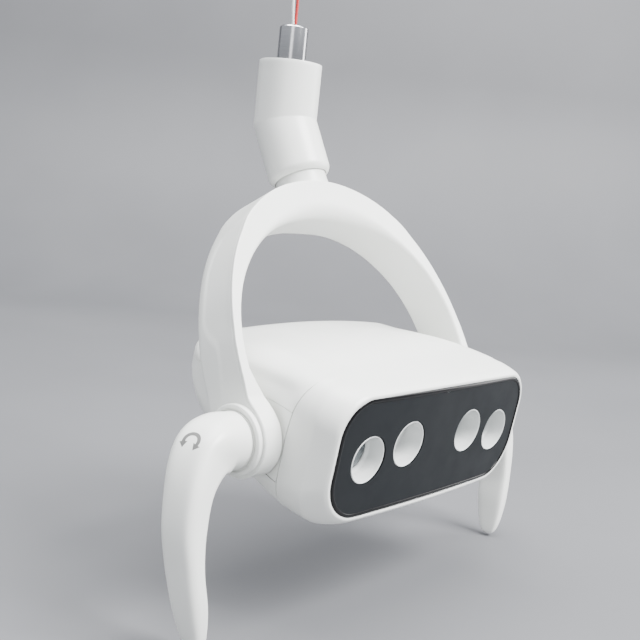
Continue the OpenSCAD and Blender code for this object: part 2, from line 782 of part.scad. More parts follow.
// Centres of the four openings
EYES = [
    [-eye_outer_x, eye_z - eye_drop], [-eye_inner_x, eye_z], [eye_inner_x, eye_z], [eye_outer_x, eye_z - eye_drop]
];

function eye_depth(i) = abs(EYES[i].x) > eye_inner_x ? eye_depth_outer : eye_depth_inner;

module front_panel() {
    color(dark) at_tilt() difference() {
        intersection() {
            slab(-face_y - 2, -face_y + 10) panel_outline(rim_t + 0.05);
            face_layer(0, 3);
        }
        for (e = EYES) translate([e.x, 0, e.y]) y_rod(eye_r, -90, 0);
    }
}

module panel_gasket() {
    color([0.05, 0.05, 0.06]) at_tilt() difference() {
        intersection() {
            slab(-face_y - 2, -face_y + 10) panel_outline(0);
            face_layer(-0.6, 4.5);
        }
        slab(-face_y - 5, -face_y + 20) panel_outline(rim_t);
    }
}

module at_eye(i) {
    at_tilt() translate([EYES[i].x, -face_y + face_sag(EYES[i].x), EYES[i].y]) rotate([-90, 0, 0]) children();
}

module reflector(i) {
    d = eye_depth(i);
    color(white) at_eye(i) rotate_extrude() polygon([
        [eye_r - 0.4, 0.4], [eye_r - 1.4, 0.4], [14.1, d - 2], [lens_r + 0.1, d], [lens_r + 0.1, d + 3.2],
        [11, d + 3.2], [11, d + 5.3], [15, d + 5.3], [15, d - 1], [eye_r - 0.4, d - 5]
    ]);
}

module lens(i) {
    color([0.6, 0.65, 0.7, 0.6]) at_eye(i) translate([0, 0, eye_depth(i) + 0.1]) cylinder(r = lens_r, h = 3);
}

module led(i) {
    color([0.9, 0.85, 0.5]) at_eye(i) union() {
        translate([0, 0, eye_depth(i) + 5.4]) cylinder(r = 10, h = 1.6);
        translate([0, 0, eye_depth(i) + 4.6]) cylinder(r = 3, h = 0.9);
    }
}

// Rear face of an LED board, where the heat sink's pad for it starts
function board_back(i) = -face_y + face_sag(EYES[i].x) + eye_depth(i) + 7.1;

module heat_sink() {
    count = floor(92 / fin_pitch);
    color([0.75, 0.76, 0.78]) at_tilt() difference() {
        union() {
            translate([-96, sink_y, -22]) cube([192, 3, 52]);
            for (k = [-count:count]) translate([k * fin_pitch - 0.8, sink_y + 2.9, -22]) cube([1.6, 14, 52]);
            for (i = [0:3]) translate([EYES[i].x, 0, EYES[i].y]) y_rod(10, board_back(i), sink_y + 1);
            for (p = SINK_SCREW_POINTS) translate([p.x, 0, p.y]) y_rod(4, sink_y + 1, sink_y + 17.1);
        }
        for (p = SINK_SCREW_POINTS) translate([p.x, 0, p.y]) y_rod(1.5, -60, 20);
    }
}

SINK_SCREW_POINTS = [[-86, -14], [86, -14], [-86, 20], [86, 20]];
chassis_y = sink_y + 17.2;

module chassis() {
    color(steel) at_tilt() difference() {
        union() {
            translate([-98.8, chassis_y, -20]) cube([197.6, 2.5, 44]);
            both_sides() translate([flange_x - 2.7, chassis_y, -20]) cube([2.5, 34, 40]);
        }
        both_sides() x_rod(5, 90, 110);
        both_sides() for (a = [30:120:270]) rotate([a, 0, 0]) translate([0, 11.5, 0]) x_rod(1.25, 90, 110);
        for (p = SINK_SCREW_POINTS) translate([p.x, 0, p.y]) y_rod(1.7, -60, 20);
    }
}

module pivot_flange_screws() {
    color(steel) at_tilt() both_sides() for (a = [30:120:270]) rotate([a, 0, 0]) translate([0, 11.5, 0]) union() {
        x_rod(1.2, flange_x - 4, flange_x + 3.2);
        x_rod(2.6, flange_x + 3.1, flange_x + 5.1);
    }
}

// Screws from below, through the bottom cover into the pillars
module housing_screws() {
    color(steel) at_tilt() for (p = HOUSING_SCREW_POINTS) translate([p.x, p.y, cover_z(p.y, 3)]) union() {
        translate([0, 0, -1.1]) cylinder(r = 2.6, h = 1.75);
        cylinder(r = 1.2, h = 16);
    }
}

module heat_sink_screws() {
    color(steel) at_tilt() for (p = SINK_SCREW_POINTS) translate([p.x, 0, p.y]) union() {
        y_rod(1.5, sink_y + 0.5, chassis_y + 2.6);
        y_rod(2.8, chassis_y + 2.55, chassis_y + 4.6);
    }
}

module driver_board() {
    color([0.1, 0.35, 0.2]) at_tilt() translate([-42, 10, 26]) union() {
        cube([84, 48, 1.6]);
        translate([6, 8, 1.5]) cube([16, 14, 10]);
        translate([30, 10, 1.5]) cube([12, 12, 8]);
        translate([54, 6, 1.5]) cube([9, 9, 3]);
        for (k = [0:3]) translate([50 + k * 9, 32, 1.5]) cylinder(r = 3, h = 10, $fn = 24);
    }
}

module sensor_board() {
    color([0.1, 0.2, 0.35]) at_tilt() translate([-11, -face_y + 5.2, eye_z - 8]) union() {
        cube([22, 1.6, 16]);
        for (x = [5, 17]) translate([x, 0, 8]) y_rod(2, -1.6, 0.1);
    }
}

module head_harness() {
    color(dark) at_tilt() tube_along([
        [-94, 0, 0], [-88, 0, 0], [-80, 1, 2], [-72, 3, 7], [-64, 5, 13], [-56, 8, 19], [-50, 14, 23],
        [-47, 19, 25.5], [-43.8, 22, 26.6]
    ], 1.8, 8);
}

// ---------- leads ----------

module lead(route, tint) {
    color(tint) tube_along(route, lead_d / 2, 8);
}

module lead_connector() {
    color([0.9, 0.9, 0.88]) difference() {
        translate([-5.6, -2.9, connector_z]) cube([8.2, 5.8, 12]);
        for (x = [-3, 0]) translate([x - 0.9, -0.9, connector_z + 5]) cube([1.8, 1.8, 10]);
    }
}

// ---------- nodes ----------

lamp_pin();
pin_stop_dowel();
pin_thrust_washer();
lead(WHITE_ROUTE, [0.9, 0.9, 0.9]);  // white_lead
lead(RED_ROUTE, [0.8, 0.15, 0.15]);  // red_lead
lead_connector();
elbow_housing();
pin_cap_ring();
pin_bush();
drag_grub_screw();
neck_bush();
neck_shaft();
neck_collar();
neck_stop_washer();
neck_lock_nut();
yoke_frame();
yoke_front_shell();
yoke_rear_shell();
yoke_screws();
yoke_harness();
elbow_harness();
pivot_bush(-1);  // left_pivot_bush
pivot_bush(1);  // right_pivot_bush
arm_ring(-1);  // left_arm_ring
arm_ring(1);  // right_arm_ring
pivot_shaft(-1);  // left_pivot_shaft
pivot_shaft(1);  // right_pivot_shaft
tilt_friction_washers();
tilt_spring_washers();
tilt_lock_nuts();
bayonet_dowels();
handle(-1);  // left_handle
handle(1);  // right_handle
chassis();
pivot_flange_screws();
front_housing();
top_cover();
bottom_cover();
cover_posts();
housing_screws();
heat_sink_screws();
front_panel();
panel_gasket();
heat_sink();
driver_board();
sensor_board();
head_harness();
for (i = [0:3]) {
    reflector(i);
    lens(i);
    led(i);
}
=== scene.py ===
"""Looks of a dental operating light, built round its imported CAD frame.

Lengths in the tables are millimetres. A piece is built in one of three frames: the pin's (the row's own),
the neck's (from the elbow's kink, up the neck) and the head's (from the tilt axis, square to the head).
"""

import json
import math

import bmesh
import bpy
from mathutils import Matrix, Vector
from mathutils.bvhtree import BVHTree


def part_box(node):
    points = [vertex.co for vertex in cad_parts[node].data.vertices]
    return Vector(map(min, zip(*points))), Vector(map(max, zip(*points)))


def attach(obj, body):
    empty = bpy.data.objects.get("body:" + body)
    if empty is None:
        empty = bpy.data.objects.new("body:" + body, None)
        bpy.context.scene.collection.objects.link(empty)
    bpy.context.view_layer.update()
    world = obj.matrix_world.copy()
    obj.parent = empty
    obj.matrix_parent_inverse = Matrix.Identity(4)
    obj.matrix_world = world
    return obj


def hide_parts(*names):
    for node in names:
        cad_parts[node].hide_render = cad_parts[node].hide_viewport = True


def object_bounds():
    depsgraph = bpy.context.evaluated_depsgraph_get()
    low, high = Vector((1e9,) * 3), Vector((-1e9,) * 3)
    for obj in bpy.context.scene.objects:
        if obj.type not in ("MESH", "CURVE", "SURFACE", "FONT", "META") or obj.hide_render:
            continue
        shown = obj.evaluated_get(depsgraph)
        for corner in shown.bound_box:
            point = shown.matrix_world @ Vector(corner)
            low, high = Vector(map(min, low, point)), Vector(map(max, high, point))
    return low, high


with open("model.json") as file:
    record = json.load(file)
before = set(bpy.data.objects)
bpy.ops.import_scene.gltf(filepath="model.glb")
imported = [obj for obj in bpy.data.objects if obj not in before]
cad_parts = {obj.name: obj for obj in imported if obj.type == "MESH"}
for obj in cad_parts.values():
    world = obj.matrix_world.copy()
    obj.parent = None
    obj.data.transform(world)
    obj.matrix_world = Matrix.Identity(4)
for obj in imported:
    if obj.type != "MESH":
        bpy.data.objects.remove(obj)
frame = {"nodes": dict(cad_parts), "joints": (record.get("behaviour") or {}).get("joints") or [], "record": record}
cad_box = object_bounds()

MM = 0.001
BEND = math.radians(27.9)
NOD = math.radians(7.76)
JOINTS = {j["name"]: j for j in frame["joints"]}
KINK = Vector(JOINTS["yoke_swivel"]["pos_m"]) / MM
TILT = Vector(JOINTS["head_tilt"]["pos_m"]) / MM
ROW = Matrix.Identity(4)
NECK = Matrix.Translation(KINK) @ Matrix.Rotation(-BEND, 4, "X")
HEAD = Matrix.Translation(TILT) @ Matrix.Rotation(NOD, 4, "X")
TILT_DROP = (TILT - KINK).length


# ---------- small helpers ----------


def clamp(x, lo=0.0, hi=1.0):
    return max(lo, min(hi, x))


def smoothstep(lo, hi, x):
    t = clamp((x - lo) / (hi - lo))
    return t * t * (3 - 2 * t)


def mix(a, b, t):
    return a + (b - a) * t


def smooth_max(a, b, k):
    h = max(k - abs(a - b), 0) / k
    return max(a, b) + h * h * k / 4


def sign(x):
    return -1 if x < 0 else 1


def lookup(x, table):
    """Value at x of a table of (x, value) pairs in rising order."""
    if x <= table[0][0]:
        return table[0][1]
    for (x0, v0), (x1, v1) in zip(table, table[1:]):
        if x <= x1:
            return mix(v0, v1, (x - x0) / (x1 - x0))
    return table[-1][1]


def catmull_rom(p, q, r, w, t):
    """The value at a share t of the way from q to r, with p before them and w after them."""
    square = 2 * p - 5 * q + 4 * r - w
    cube = 3 * q - p - 3 * r + w
    return 0.5 * (2 * q + (r - p) * t + square * t * t + cube * t**3)


def smooth_rows(rows, steps):
    """Rows of numbers with as many steps between each pair, on a Catmull-Rom curve."""
    made = []
    last = len(rows) - 1
    for i in range(last):
        a, b, c, d = rows[max(i - 1, 0)], rows[i], rows[i + 1], rows[min(i + 2, last)]
        for s in range(steps):
            t = s / steps
            made.append([catmull_rom(*values, t) for values in zip(a, b, c, d)])
    made.append(list(rows[last]))
    return made


def fillet(corners, steps=5):
    """An outline from corners (x, y, radius), each rounded with its radius."""
    made = []
    n = len(corners)
    for i, (x, y, r) in enumerate(corners):
        p = Vector((x, y))
        a = Vector(corners[i - 1][:2]) - p
        b = Vector(corners[(i + 1) % n][:2]) - p
        if r <= 0:
            made.append((x, y))
            continue
        half = a.angle(b) / 2
        reach = min(r / math.tan(half), a.length * 0.49, b.length * 0.49)
        r = reach * math.tan(half)
        centre = p + (a.normalized() + b.normalized()).normalized() * (r / math.sin(half))
        start = (p + a.normalized() * reach - centre).normalized()
        end = (p + b.normalized() * reach - centre).normalized()
        for k in range(steps + 1):
            q = centre + start.slerp(end, k / steps) * r
            made.append((q.x, q.y))
    return made


# ---------- meshes ----------


def make_piece(name, points, faces, place, smooth=35):
    """A piece from points in millimetres in a frame; its vertices are in metres in the row's frame."""
    mesh = bpy.data.meshes.new(name)
    mesh.from_pydata([(place @ Vector(p)) * MM for p in points], [], faces)
    work = bmesh.new()
    work.from_mesh(mesh)
    bmesh.ops.remove_doubles(work, verts=work.verts, dist=2e-7)
    bmesh.ops.recalc_face_normals(work, faces=work.faces)
    work.to_mesh(mesh)
    work.free()
    piece = bpy.data.objects.new(name, mesh)
    bpy.context.scene.collection.objects.link(piece)
    shade(piece, smooth)
    return piece


def shade(piece, degrees):
    piece.data.shade_smooth()
    piece.data.set_sharp_from_angle(angle=math.radians(degrees))


def bake(piece, smooth=35):
    """Applies the piece's modifiers to its mesh."""
    bpy.context.view_layer.update()
    graph = bpy.context.evaluated_depsgraph_get()
    mesh = bpy.data.meshes.new_from_object(piece.evaluated_get(graph))
    piece.modifiers.clear()
    piece.data = mesh
    shade(piece, smooth)


def grid_faces(rows, cols, closed_rows=False, closed_cols=True):
    """Faces between the points of a grid, row after row."""
    made = []
    for i in range(rows if closed_rows else rows - 1):
        for j in range(cols if closed_cols else cols - 1):
            a, b = i * cols, (i + 1) % rows * cols
            k = (j + 1) % cols
            made.append((a + j, a + k, b + k, b + j))
    return made


def lathe(outline, sides, axis="Z"):
    """Points and faces of a closed outline (radius, height) turned round the Z axis or the X axis."""
    points = []
    for k in range(sides):
        c, s = math.cos(math.tau * k / sides), math.sin(math.tau * k / sides)
        for r, h in outline:
            points.append((h, r * c, r * s) if axis == "X" else (r * c, r * s, h))
    return points, grid_faces(sides, len(outline), True, True)


def thicken(piece, wall, bevel):
    """Gives a skin its wall, inward, and takes off the sharp edges of its rims, unless the bevel is 0."""
    solid = piece.modifiers.new("wall", "SOLIDIFY")
    solid.thickness = wall * MM
    solid.offset = -1
    solid.use_even_offset = False
    if bevel:
        soften(piece, bevel, 60)


def soften(piece, width, degrees=40):
    """Bevels the edges that are sharper than an angle."""
    edge = piece.modifiers.new("edges", "BEVEL")
    edge.width = width * MM
    edge.segments = 2
    edge.limit_method = "ANGLE"
    edge.angle_limit = math.radians(degrees)


def rod(start, end, radius, place, sides=48):
    """A temporary cylinder that cuts a hole, from one point to another in a frame."""
    a, b = place @ Vector(start), place @ Vector(end)
    along = (b - a).normalized()
    side = along.orthogonal().normalized()
    up = along.cross(side)
    points = []
    for p in (a, b):
        for k in range(sides):
            t = math.tau * k / sides
            points.append(p + radius * (math.cos(t) * side + math.sin(t) * up))
    faces = grid_faces(2, sides) + [tuple(range(sides))[::-1], tuple(range(sides, 2 * sides))]
    return make_piece("cutter", points, faces, ROW)


def cut(piece, cutters):
    """Takes the cutters out of a piece for good."""
    for tool in cutters:
        hole = piece.modifiers.new("hole", "BOOLEAN")
        hole.operation = "DIFFERENCE"
        hole.solver = "EXACT"
        hole.object = tool
    bake(piece)
    for tool in cutters:
        bpy.data.objects.remove(tool)


def settle(piece, body, slot, material, *nodes):
    """Puts a finished piece on its body, with its finish, in place of its CAD nodes."""
    piece.data.materials.clear()
    piece.data.materials.append(material)
    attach(piece, body)
    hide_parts(*nodes)
    return piece


# ---------- materials ----------


def new_material(name):
    made = bpy.data.materials.new(name)
    made.use_nodes = True
    nodes, links = made.node_tree.nodes, made.node_tree.links
    shader = nodes["Principled BSDF"]
    place = nodes.new("ShaderNodeTexCoord")
    return made, nodes, links, shader, place.outputs["Object"]


def noise(nodes, links, vector, scale, detail=3, stretch=None):
    """Soft noise, in features of 1 / scale metres, stretched along an axis if told."""
    if stretch:
        mapping = nodes.new("ShaderNodeMapping")
        mapping.inputs["Scale"].default_value = stretch
        links.new(vector, mapping.inputs["Vector"])
        vector = mapping.outputs["Vector"]
    made = nodes.new("ShaderNodeTexNoise")
    made.inputs["Scale"].default_value = scale
    made.inputs["Detail"].default_value = detail
    links.new(vector, made.inputs["Vector"])
    return made.outputs["Fac"]


def ramp(nodes, links, source, low, high, lo=0.35, hi=0.65):
    """A colour or grey between low and high as the source goes from lo to hi."""
    made = nodes.new("ShaderNodeValToRGB")
    made.color_ramp.elements[0].position = lo
    made.color_ramp.elements[1].position = hi
    made.color_ramp.elements[0].color = (*low, 1) if isinstance(low, tuple) else (low, low, low, 1)
    made.color_ramp.elements[1].color = (*high, 1) if isinstance(high, tuple) else (high, high, high, 1)
    links.new(source, made.inputs["Fac"])
    return made.outputs["Color"]


def bump(nodes, links, shader, source, strength, distance):
    made = nodes.new("ShaderNodeBump")
    made.inputs["Strength"].default_value = strength
    made.inputs["Distance"].default_value = distance * MM
    links.new(source, made.inputs["Height"])
    links.new(made.outputs["Normal"], shader.inputs["Normal"])


def plastic(name, tint, shade_tint, rough, grain=0.02, grain_scale=1400, coat=0.0, specular=0.5):
    """Moulded plastic: a slow drift of tint, patches of gloss and a fine grain."""
    made, nodes, links, shader, where = new_material(name)
    drift = noise(nodes, links, where, 14)
    links.new(ramp(nodes, links, drift, shade_tint, tint), shader.inputs["Base Color"])
    gloss = noise(nodes, links, where, 60, 4)
    links.new(ramp(nodes, links, gloss, rough[0], rough[1]), shader.inputs["Roughness"])
    bump(nodes, links, shader, noise(nodes, links, where, grain_scale, 2), 0.35, grain)
    shader.inputs["Coat Weight"].default_value = coat
    shader.inputs["Coat Roughness"].default_value = 0.2
    shader.inputs["Specular IOR Level"].default_value = specular
    return made


def metal(name, tint, shade_tint, rough, stretch, scale, grain):
    """Turned, rolled or brushed metal: fine lines along the tool's way."""
    made, nodes, links, shader, where = new_material(name)
    lines = noise(nodes, links, where, scale, 4, stretch)
    links.new(ramp(nodes, links, lines, shade_tint, tint, 0.3, 0.7), shader.inputs["Base Color"])
    links.new(ramp(nodes, links, lines, rough[1], rough[0]), shader.inputs["Roughness"])
    bump(nodes, links, shader, lines, 0.3, grain)
    shader.inputs["Metallic"].default_value = 1
    return made


def glass(name):
    """Lens: smoky grey, with the fine pebbled back that spreads the light."""
    made, nodes, links, shader, where = new_material(name)
    tint = ramp(nodes, links, noise(nodes, links, where, 90), (0.115, 0.132, 0.142), (0.150, 0.170, 0.182))
    links.new(tint, shader.inputs["Base Color"])
    links.new(ramp(nodes, links, noise(nodes, links, where, 240), 0.08, 0.18), shader.inputs["Roughness"])
    pebbles = nodes.new("ShaderNodeTexVoronoi")
    pebbles.inputs["Scale"].default_value = 900
    links.new(where, pebbles.inputs["Vector"])
    bump(nodes, links, shader, pebbles.outputs["Distance"], 0.25, 0.08)
    shader.inputs["Transmission Weight"].default_value = 0.3
    shader.inputs["IOR"].default_value = 1.49
    return made


WHITE = plastic(
    "white_moulding", (0.835, 0.842, 0.812), (0.805, 0.815, 0.780), (0.30, 0.38), 0.012, 1100, 0.1
)
REFLECTOR = plastic(
    "reflector_gloss", (0.72, 0.735, 0.725), (0.68, 0.70, 0.69), (0.22, 0.30), 0.008, 900, 0.1
)
BEARING = plastic("bearing_acetal", (0.72, 0.71, 0.66), (0.66, 0.65, 0.60), (0.4, 0.5), 0.02)
PANEL_SATIN = plastic(
    "panel_satin", (0.0095, 0.0110, 0.0125), (0.0075, 0.0090, 0.0105), (0.42, 0.50), 0.006, 1800, 0.0, 0.15
)
TRIM = plastic(
    "trim_gloss", (0.0035, 0.0035, 0.004), (0.002, 0.002, 0.0025), (0.10, 0.16), 0.004, 700, 0.0, 0.25
)
BOARD = plastic("solder_mask", (0.03, 0.16, 0.08), (0.02, 0.12, 0.06), (0.3, 0.4), 0.03, 500)
LED = plastic("led_ceramic", (0.80, 0.74, 0.42), (0.74, 0.68, 0.38), (0.4, 0.5), 0.03, 600)
LEAD_WHITE = plastic("lead_white", (0.78, 0.78, 0.76), (0.72, 0.72, 0.70), (0.35, 0.45), 0.02, 800)
LEAD_RED = plastic("lead_red", (0.50, 0.030, 0.028), (0.42, 0.022, 0.022), (0.35, 0.45), 0.02, 800)
CABLE = plastic("cable_sheath", (0.05, 0.05, 0.055), (0.035, 0.035, 0.04), (0.5, 0.6), 0.03, 900)
ARROW = plastic("arrow_ink", (0.16, 0.16, 0.155), (0.13, 0.13, 0.125), (0.45, 0.55), 0.01, 1500)
PIN_STEEL = metal(
    "pin_turned", (0.60, 0.60, 0.61), (0.53, 0.53, 0.55), (0.17, 0.23), (0.1, 0.1, 8), 300, 0.004
)
STEEL = metal("zinc_steel", (0.58, 0.59, 0.61), (0.50, 0.51, 0.53), (0.28, 0.4), (1, 1, 1), 500, 0.03)
ALUMINIUM = metal(
    "extruded_aluminium", (0.74, 0.75, 0.76), (0.68, 0.69, 0.70), (0.3, 0.42), (1, 1, 0.08), 700, 0.02
)
GLASS = glass("lens_glass")

SLOT_FINISH = {
    "white_housing": WHITE,
    "polished_pin": PIN_STEEL,
    "steel": STEEL,
    "bearing_plastic": BEARING,
    "white_reflector": REFLECTOR,
    "lens_glass": GLASS,
    "led_module": LED,
    "dark_panel": PANEL_SATIN,
    "black_trim": TRIM,
    "aluminium": ALUMINIUM,
    "circuit_board": BOARD,
    "white_lead": LEAD_WHITE,
    "red_lead": LEAD_RED,
    "dark_cable": CABLE,
}


def finish_cad_nodes():
    """Gives each CAD node that stays the material of its slot."""
    for part in frame["record"]["subparts"]:
        node = frame["nodes"][part["node"]]
        node.data.materials.clear()
        node.data.materials.append(SLOT_FINISH[part["material_slot"]])


# ---------- camera and light ----------


def add_camera():
    """The photograph's camera, solved from the panel's outline and its four openings; metres and degrees."""
    data = bpy.data.cameras.new("camera")
    data.sensor_width = 36
    data.lens = 53.045
    data.clip_start = 0.02
    camera = bpy.data.objects.new("camera", data)
    camera.location = (-0.53556, -0.50005, -0.10644)
    camera.rotation_euler = [math.radians(a) for a in (82.24369, -5.93607, -49.44661)]
    bpy.context.scene.collection.objects.link(camera)
    bpy.context.scene.camera = camera


LIT_SPOT = (0, -0.1, -0.2)
# [name, place, size, power] in metres and watts; all of them shine on LIT_SPOT
SOFTBOXES = [
    ("key", (0.5, -1.8, 1.6), (1.3, 1.3), 230),
    ("left", (-1.7, -1.1, 0.4), (0.7, 1.6), 8),
    ("right", (1.8, -0.9, 0.3), (0.6, 1.6), 20),
    ("top", (-0.1, 0.2, 2.0), (1.6, 1.6), 110),
]


def add_softbox(name, at, size, power):
    data = bpy.data.lights.new(name, "AREA")
    data.shape = "RECTANGLE"
    data.size, data.size_y = size
    data.energy = power
    lamp = bpy.data.objects.new(name, data)
    lamp.location = at
    lamp.rotation_euler = (Vector(LIT_SPOT) - Vector(at)).to_track_quat("-Z", "Y").to_euler()
    bpy.context.scene.collection.objects.link(lamp)


def add_world():
    """Soft surroundings, brighter overhead than round the horizon."""
    world = bpy.data.worlds.new("studio")
    world.use_nodes = True
    nodes, links = world.node_tree.nodes, world.node_tree.links
    sky = nodes["Background"]
    sky.inputs["Color"].default_value = (0.90, 0.94, 1.0, 1)
    where = nodes.new("ShaderNodeTexCoord")
    split = nodes.new("ShaderNodeSeparateXYZ")
    rise = nodes.new("ShaderNodeMapRange")
    rise.inputs["From Min"].default_value = -0.1
    rise.inputs["From Max"].default_value = 0.9
    rise.inputs["To Min"].default_value = 0.35
    rise.inputs["To Max"].default_value = 1.6
    links.new(where.outputs["Generated"], split.inputs["Vector"])
    links.new(split.outputs["Z"], rise.inputs["Value"])
    links.new(rise.outputs["Result"], sky.inputs["Strength"])
    bpy.context.scene.world = world


def add_floor():
    """A plain pale sweep in metres, just under the handles and up behind the object, square to the camera."""
    floor_z = cad_box[0].z - 0.002
    half, back, curve, height, steps = 3.0, 1.2, 0.6, 2.6, 16
    outline = [(-half, 0.0)]
    for k in range(steps + 1):
        t = math.pi / 2 * k / steps
        outline.append((back + curve * math.sin(t), curve * (1 - math.cos(t))))
    outline.append((back + curve, height))
    turn = Matrix.Rotation(math.radians(-46), 4, "Z")
    points = []
    for side in (-half, half):
        for d, h in outline:
            spot = turn @ Vector((side, d, 0))
            points.append(Vector((spot.x, spot.y, floor_z + h)) / MM)
    floor = make_piece("floor_sweep", points, grid_faces(2, len(outline), False, False), ROW)
    made, nodes, links, shader, where = new_material("pale_sweep")
    tint = ramp(nodes, links, noise(nodes, links, where, 3), (0.135, 0.137, 0.145), (0.147, 0.149, 0.157))
    links.new(tint, shader.inputs["Base Color"])
    shader.inputs["Roughness"].default_value = 0.55
    floor.data.materials.append(made)


# ---------- leads ----------

WHITE_ROUTE = [
    (-1.3, 0, -5.8), (-1.6, 0, 4), (-1.8, 0, 13), (-2.6, 0, 19),
    (-3.4, 0, 25), (-3.8, 0, 31), (-3.6, 0, 37), (-3, 0, 43),
]
RED_ROUTE = [
    (1.2, 0, -5.8), (1.4, 0, 4), (1, 0, 13), (0.8, 0, 19),
    (0.8, 0, 25), (0.8, 0, 31), (0.4, 0, 37), (0, 0, 43),
]
LEAD_D = 2.2
LEAD_PLUGGED = 2


def add_lead(name, node, route, material, slot):
    """A lead as a round curve along its route, with its last millimetres in the connector."""
    end = (route[-1][0], 0, route[-1][2] + LEAD_PLUGGED)
    route = [tuple(p) for p in smooth_rows([*route, end], 3)]
    data = bpy.data.curves.new(name, "CURVE")
    data.dimensions = "3D"
    data.bevel_depth = LEAD_D / 2 * MM
    data.bevel_resolution = 6
    data.use_fill_caps = True
    line = data.splines.new("POLY")
    line.points.add(len(route) - 1)
    for point, p in zip(line.points, route):
        point.co = (*(Vector(p) * MM), 1)
    line.use_smooth = True
    lead = bpy.data.objects.new(name, data)
    bpy.context.scene.collection.objects.link(lead)
    settle(lead, "pin", slot, material, node)


def add_connector():
    """Two-way connector housing with its two contact slots."""
    lo, hi = (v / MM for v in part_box("lead_connector"))
    corners = ((lo.x, lo.y), (hi.x, lo.y), (hi.x, hi.y), (lo.x, hi.y))
    points = [(x, y, z) for z in (lo.z, hi.z) for x, y in corners]
    faces = [(3, 2, 1, 0), (4, 5, 6, 7)] + [(k, (k + 1) % 4, (k + 1) % 4 + 4, k + 4) for k in range(4)]
    body = make_piece("connector_housing", points, faces, ROW)
    cutters = [rod((x, 0, hi.z - 7), (x, 0, hi.z + 3), 0.95, ROW, 4) for x in (-3, 0)]
    cut(body, cutters)
    soften(body, 0.4)
    bake(body)
    return settle(body, "pin", "white_lead", LEAD_WHITE, "lead_connector")


# ---------- pin and elbow ----------

PIN_R = 11
BORE_R = 7.5
RIM_Z = -13.0
ELBOW_R = 23.7
SKIRT_Z = -46.5
SLEEVE_R = 19.2


def add_pin():
    lo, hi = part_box("lamp_pin")
    top, end = hi.z / MM, lo.z / MM
    outline = fillet(
        [
            (BORE_R, top, 0.5), (PIN_R - 1, top, 0.25), (PIN_R, top - 1, 0.25), (PIN_R, RIM_Z + 0.2, 0.3),
            (10, RIM_Z + 0.2, 0), (10, -21, 0), (15.5, -21, 0.3), (15.5, -24, 0.3), (10, -24, 0),
            (10, end, 0.5), (BORE_R, end, 0.5),
        ]
    )
    pin = make_piece("pin_tube", *lathe(outline, 128), ROW)
    settle(pin, "pin", "polished_pin", PIN_STEEL, "lamp_pin")


def add_cap_ring():
    lo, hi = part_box("pin_cap_ring")
    top, low = hi.z / MM, lo.z / MM
    ring = make_piece(
        "pin_cover_ring",
        *lathe(fillet([(10.05, top, 0.4), (18.95, top, 0.4), (18.95, low, 0.2), (10.05, low, 0.2)]), 96),
        ROW,
    )
    holes = []
    hole_circle = 15
    for k in range(4):
        t = math.radians(45 + 90 * k)
        x, y = hole_circle * math.cos(t), hole_circle * math.sin(t)
        holes.append(rod((x, y, top - 1.5), (x, y, top + 1), 1.2, ROW, 24))
    cut(ring, holes)
    settle(ring, "elbow", "white_housing", WHITE, "pin_cap_ring")


SKIRT_EDGE = 6
# The elbow's skin, down the outside and up the inside, as loops (place, radius, distance). For "upper" and
# "lower" the distance is the height on that tube's axis, for "above" and "below" it is the one to the mitre.
ELBOW_LOOPS = [
    ("upper", 21.9, RIM_Z - 1.5), ("upper", 21.9, RIM_Z - 0.3), ("upper", 22.0, RIM_Z - 0.08),
    ("upper", 22.25, RIM_Z), ("upper", 23.25, RIM_Z), ("upper", 23.55, RIM_Z - 0.12),
    ("upper", ELBOW_R, RIM_Z - 0.5), ("upper", ELBOW_R, RIM_Z - 3), ("upper", ELBOW_R, RIM_Z - 22),
    ("above", ELBOW_R, 4), ("above", ELBOW_R, 0.7), ("above", ELBOW_R, 0.001),
    ("below", ELBOW_R, 0.7), ("below", ELBOW_R, 4), ("lower", ELBOW_R, -24), ("lower", ELBOW_R, -36),
]
for a in range(0, 69, 8):
    t = math.radians(a)
    edge_r = ELBOW_R - SKIRT_EDGE + SKIRT_EDGE * math.cos(t)
    ELBOW_LOOPS.append(("lower", edge_r, SKIRT_Z + SKIRT_EDGE - SKIRT_EDGE * math.sin(t)))
ELBOW_LOOPS += [
    ("lower", 20.1, SKIRT_Z + 0.45), ("lower", 19.9, SKIRT_Z + 0.7), ("lower", 19.9, SKIRT_Z + 3),
    ("lower", 11.52, SKIRT_Z + 3), ("lower", 11.52, -24.7), ("lower", 15.5, -24.7), ("above", 15.5, 0.001),
    ("upper", 15.5, -40.2), ("upper", 12.52, -40.2), ("upper", 12.52, -25.2), ("upper", 16, -25.2),
    ("upper", 16, -20.1), ("upper", 19, -20.1), ("upper", 19, RIM_Z - 1.9), ("upper", 19.4, RIM_Z - 1.5),
]


def elbow_point(where, r, distance, turn):
    """A point of one of the elbow's loops, at an angle round it."""
    x, y = r * math.cos(turn), r * math.sin(turn)
    mitre = y * math.tan(BEND / 2)
    if where == "upper":
        return (x, y, distance)
    if where == "above":
        return (x, y, KINK.z - mitre + distance)
    if where == "below":
        return NECK @ Vector((x, y, mitre - distance))
    return NECK @ Vector((x, y, distance))


def add_elbow():
    """Two mitred tubes as one closed set of loops."""
    sides = 128
    points = [elbow_point(*loop, math.tau * k / sides) for loop in ELBOW_LOOPS for k in range(sides)]
    elbow = make_piece("elbow_shell", points, grid_faces(len(ELBOW_LOOPS), sides, True, True), ROW, 26)
    settle(elbow, "elbow", "white_housing", WHITE, "elbow_housing")


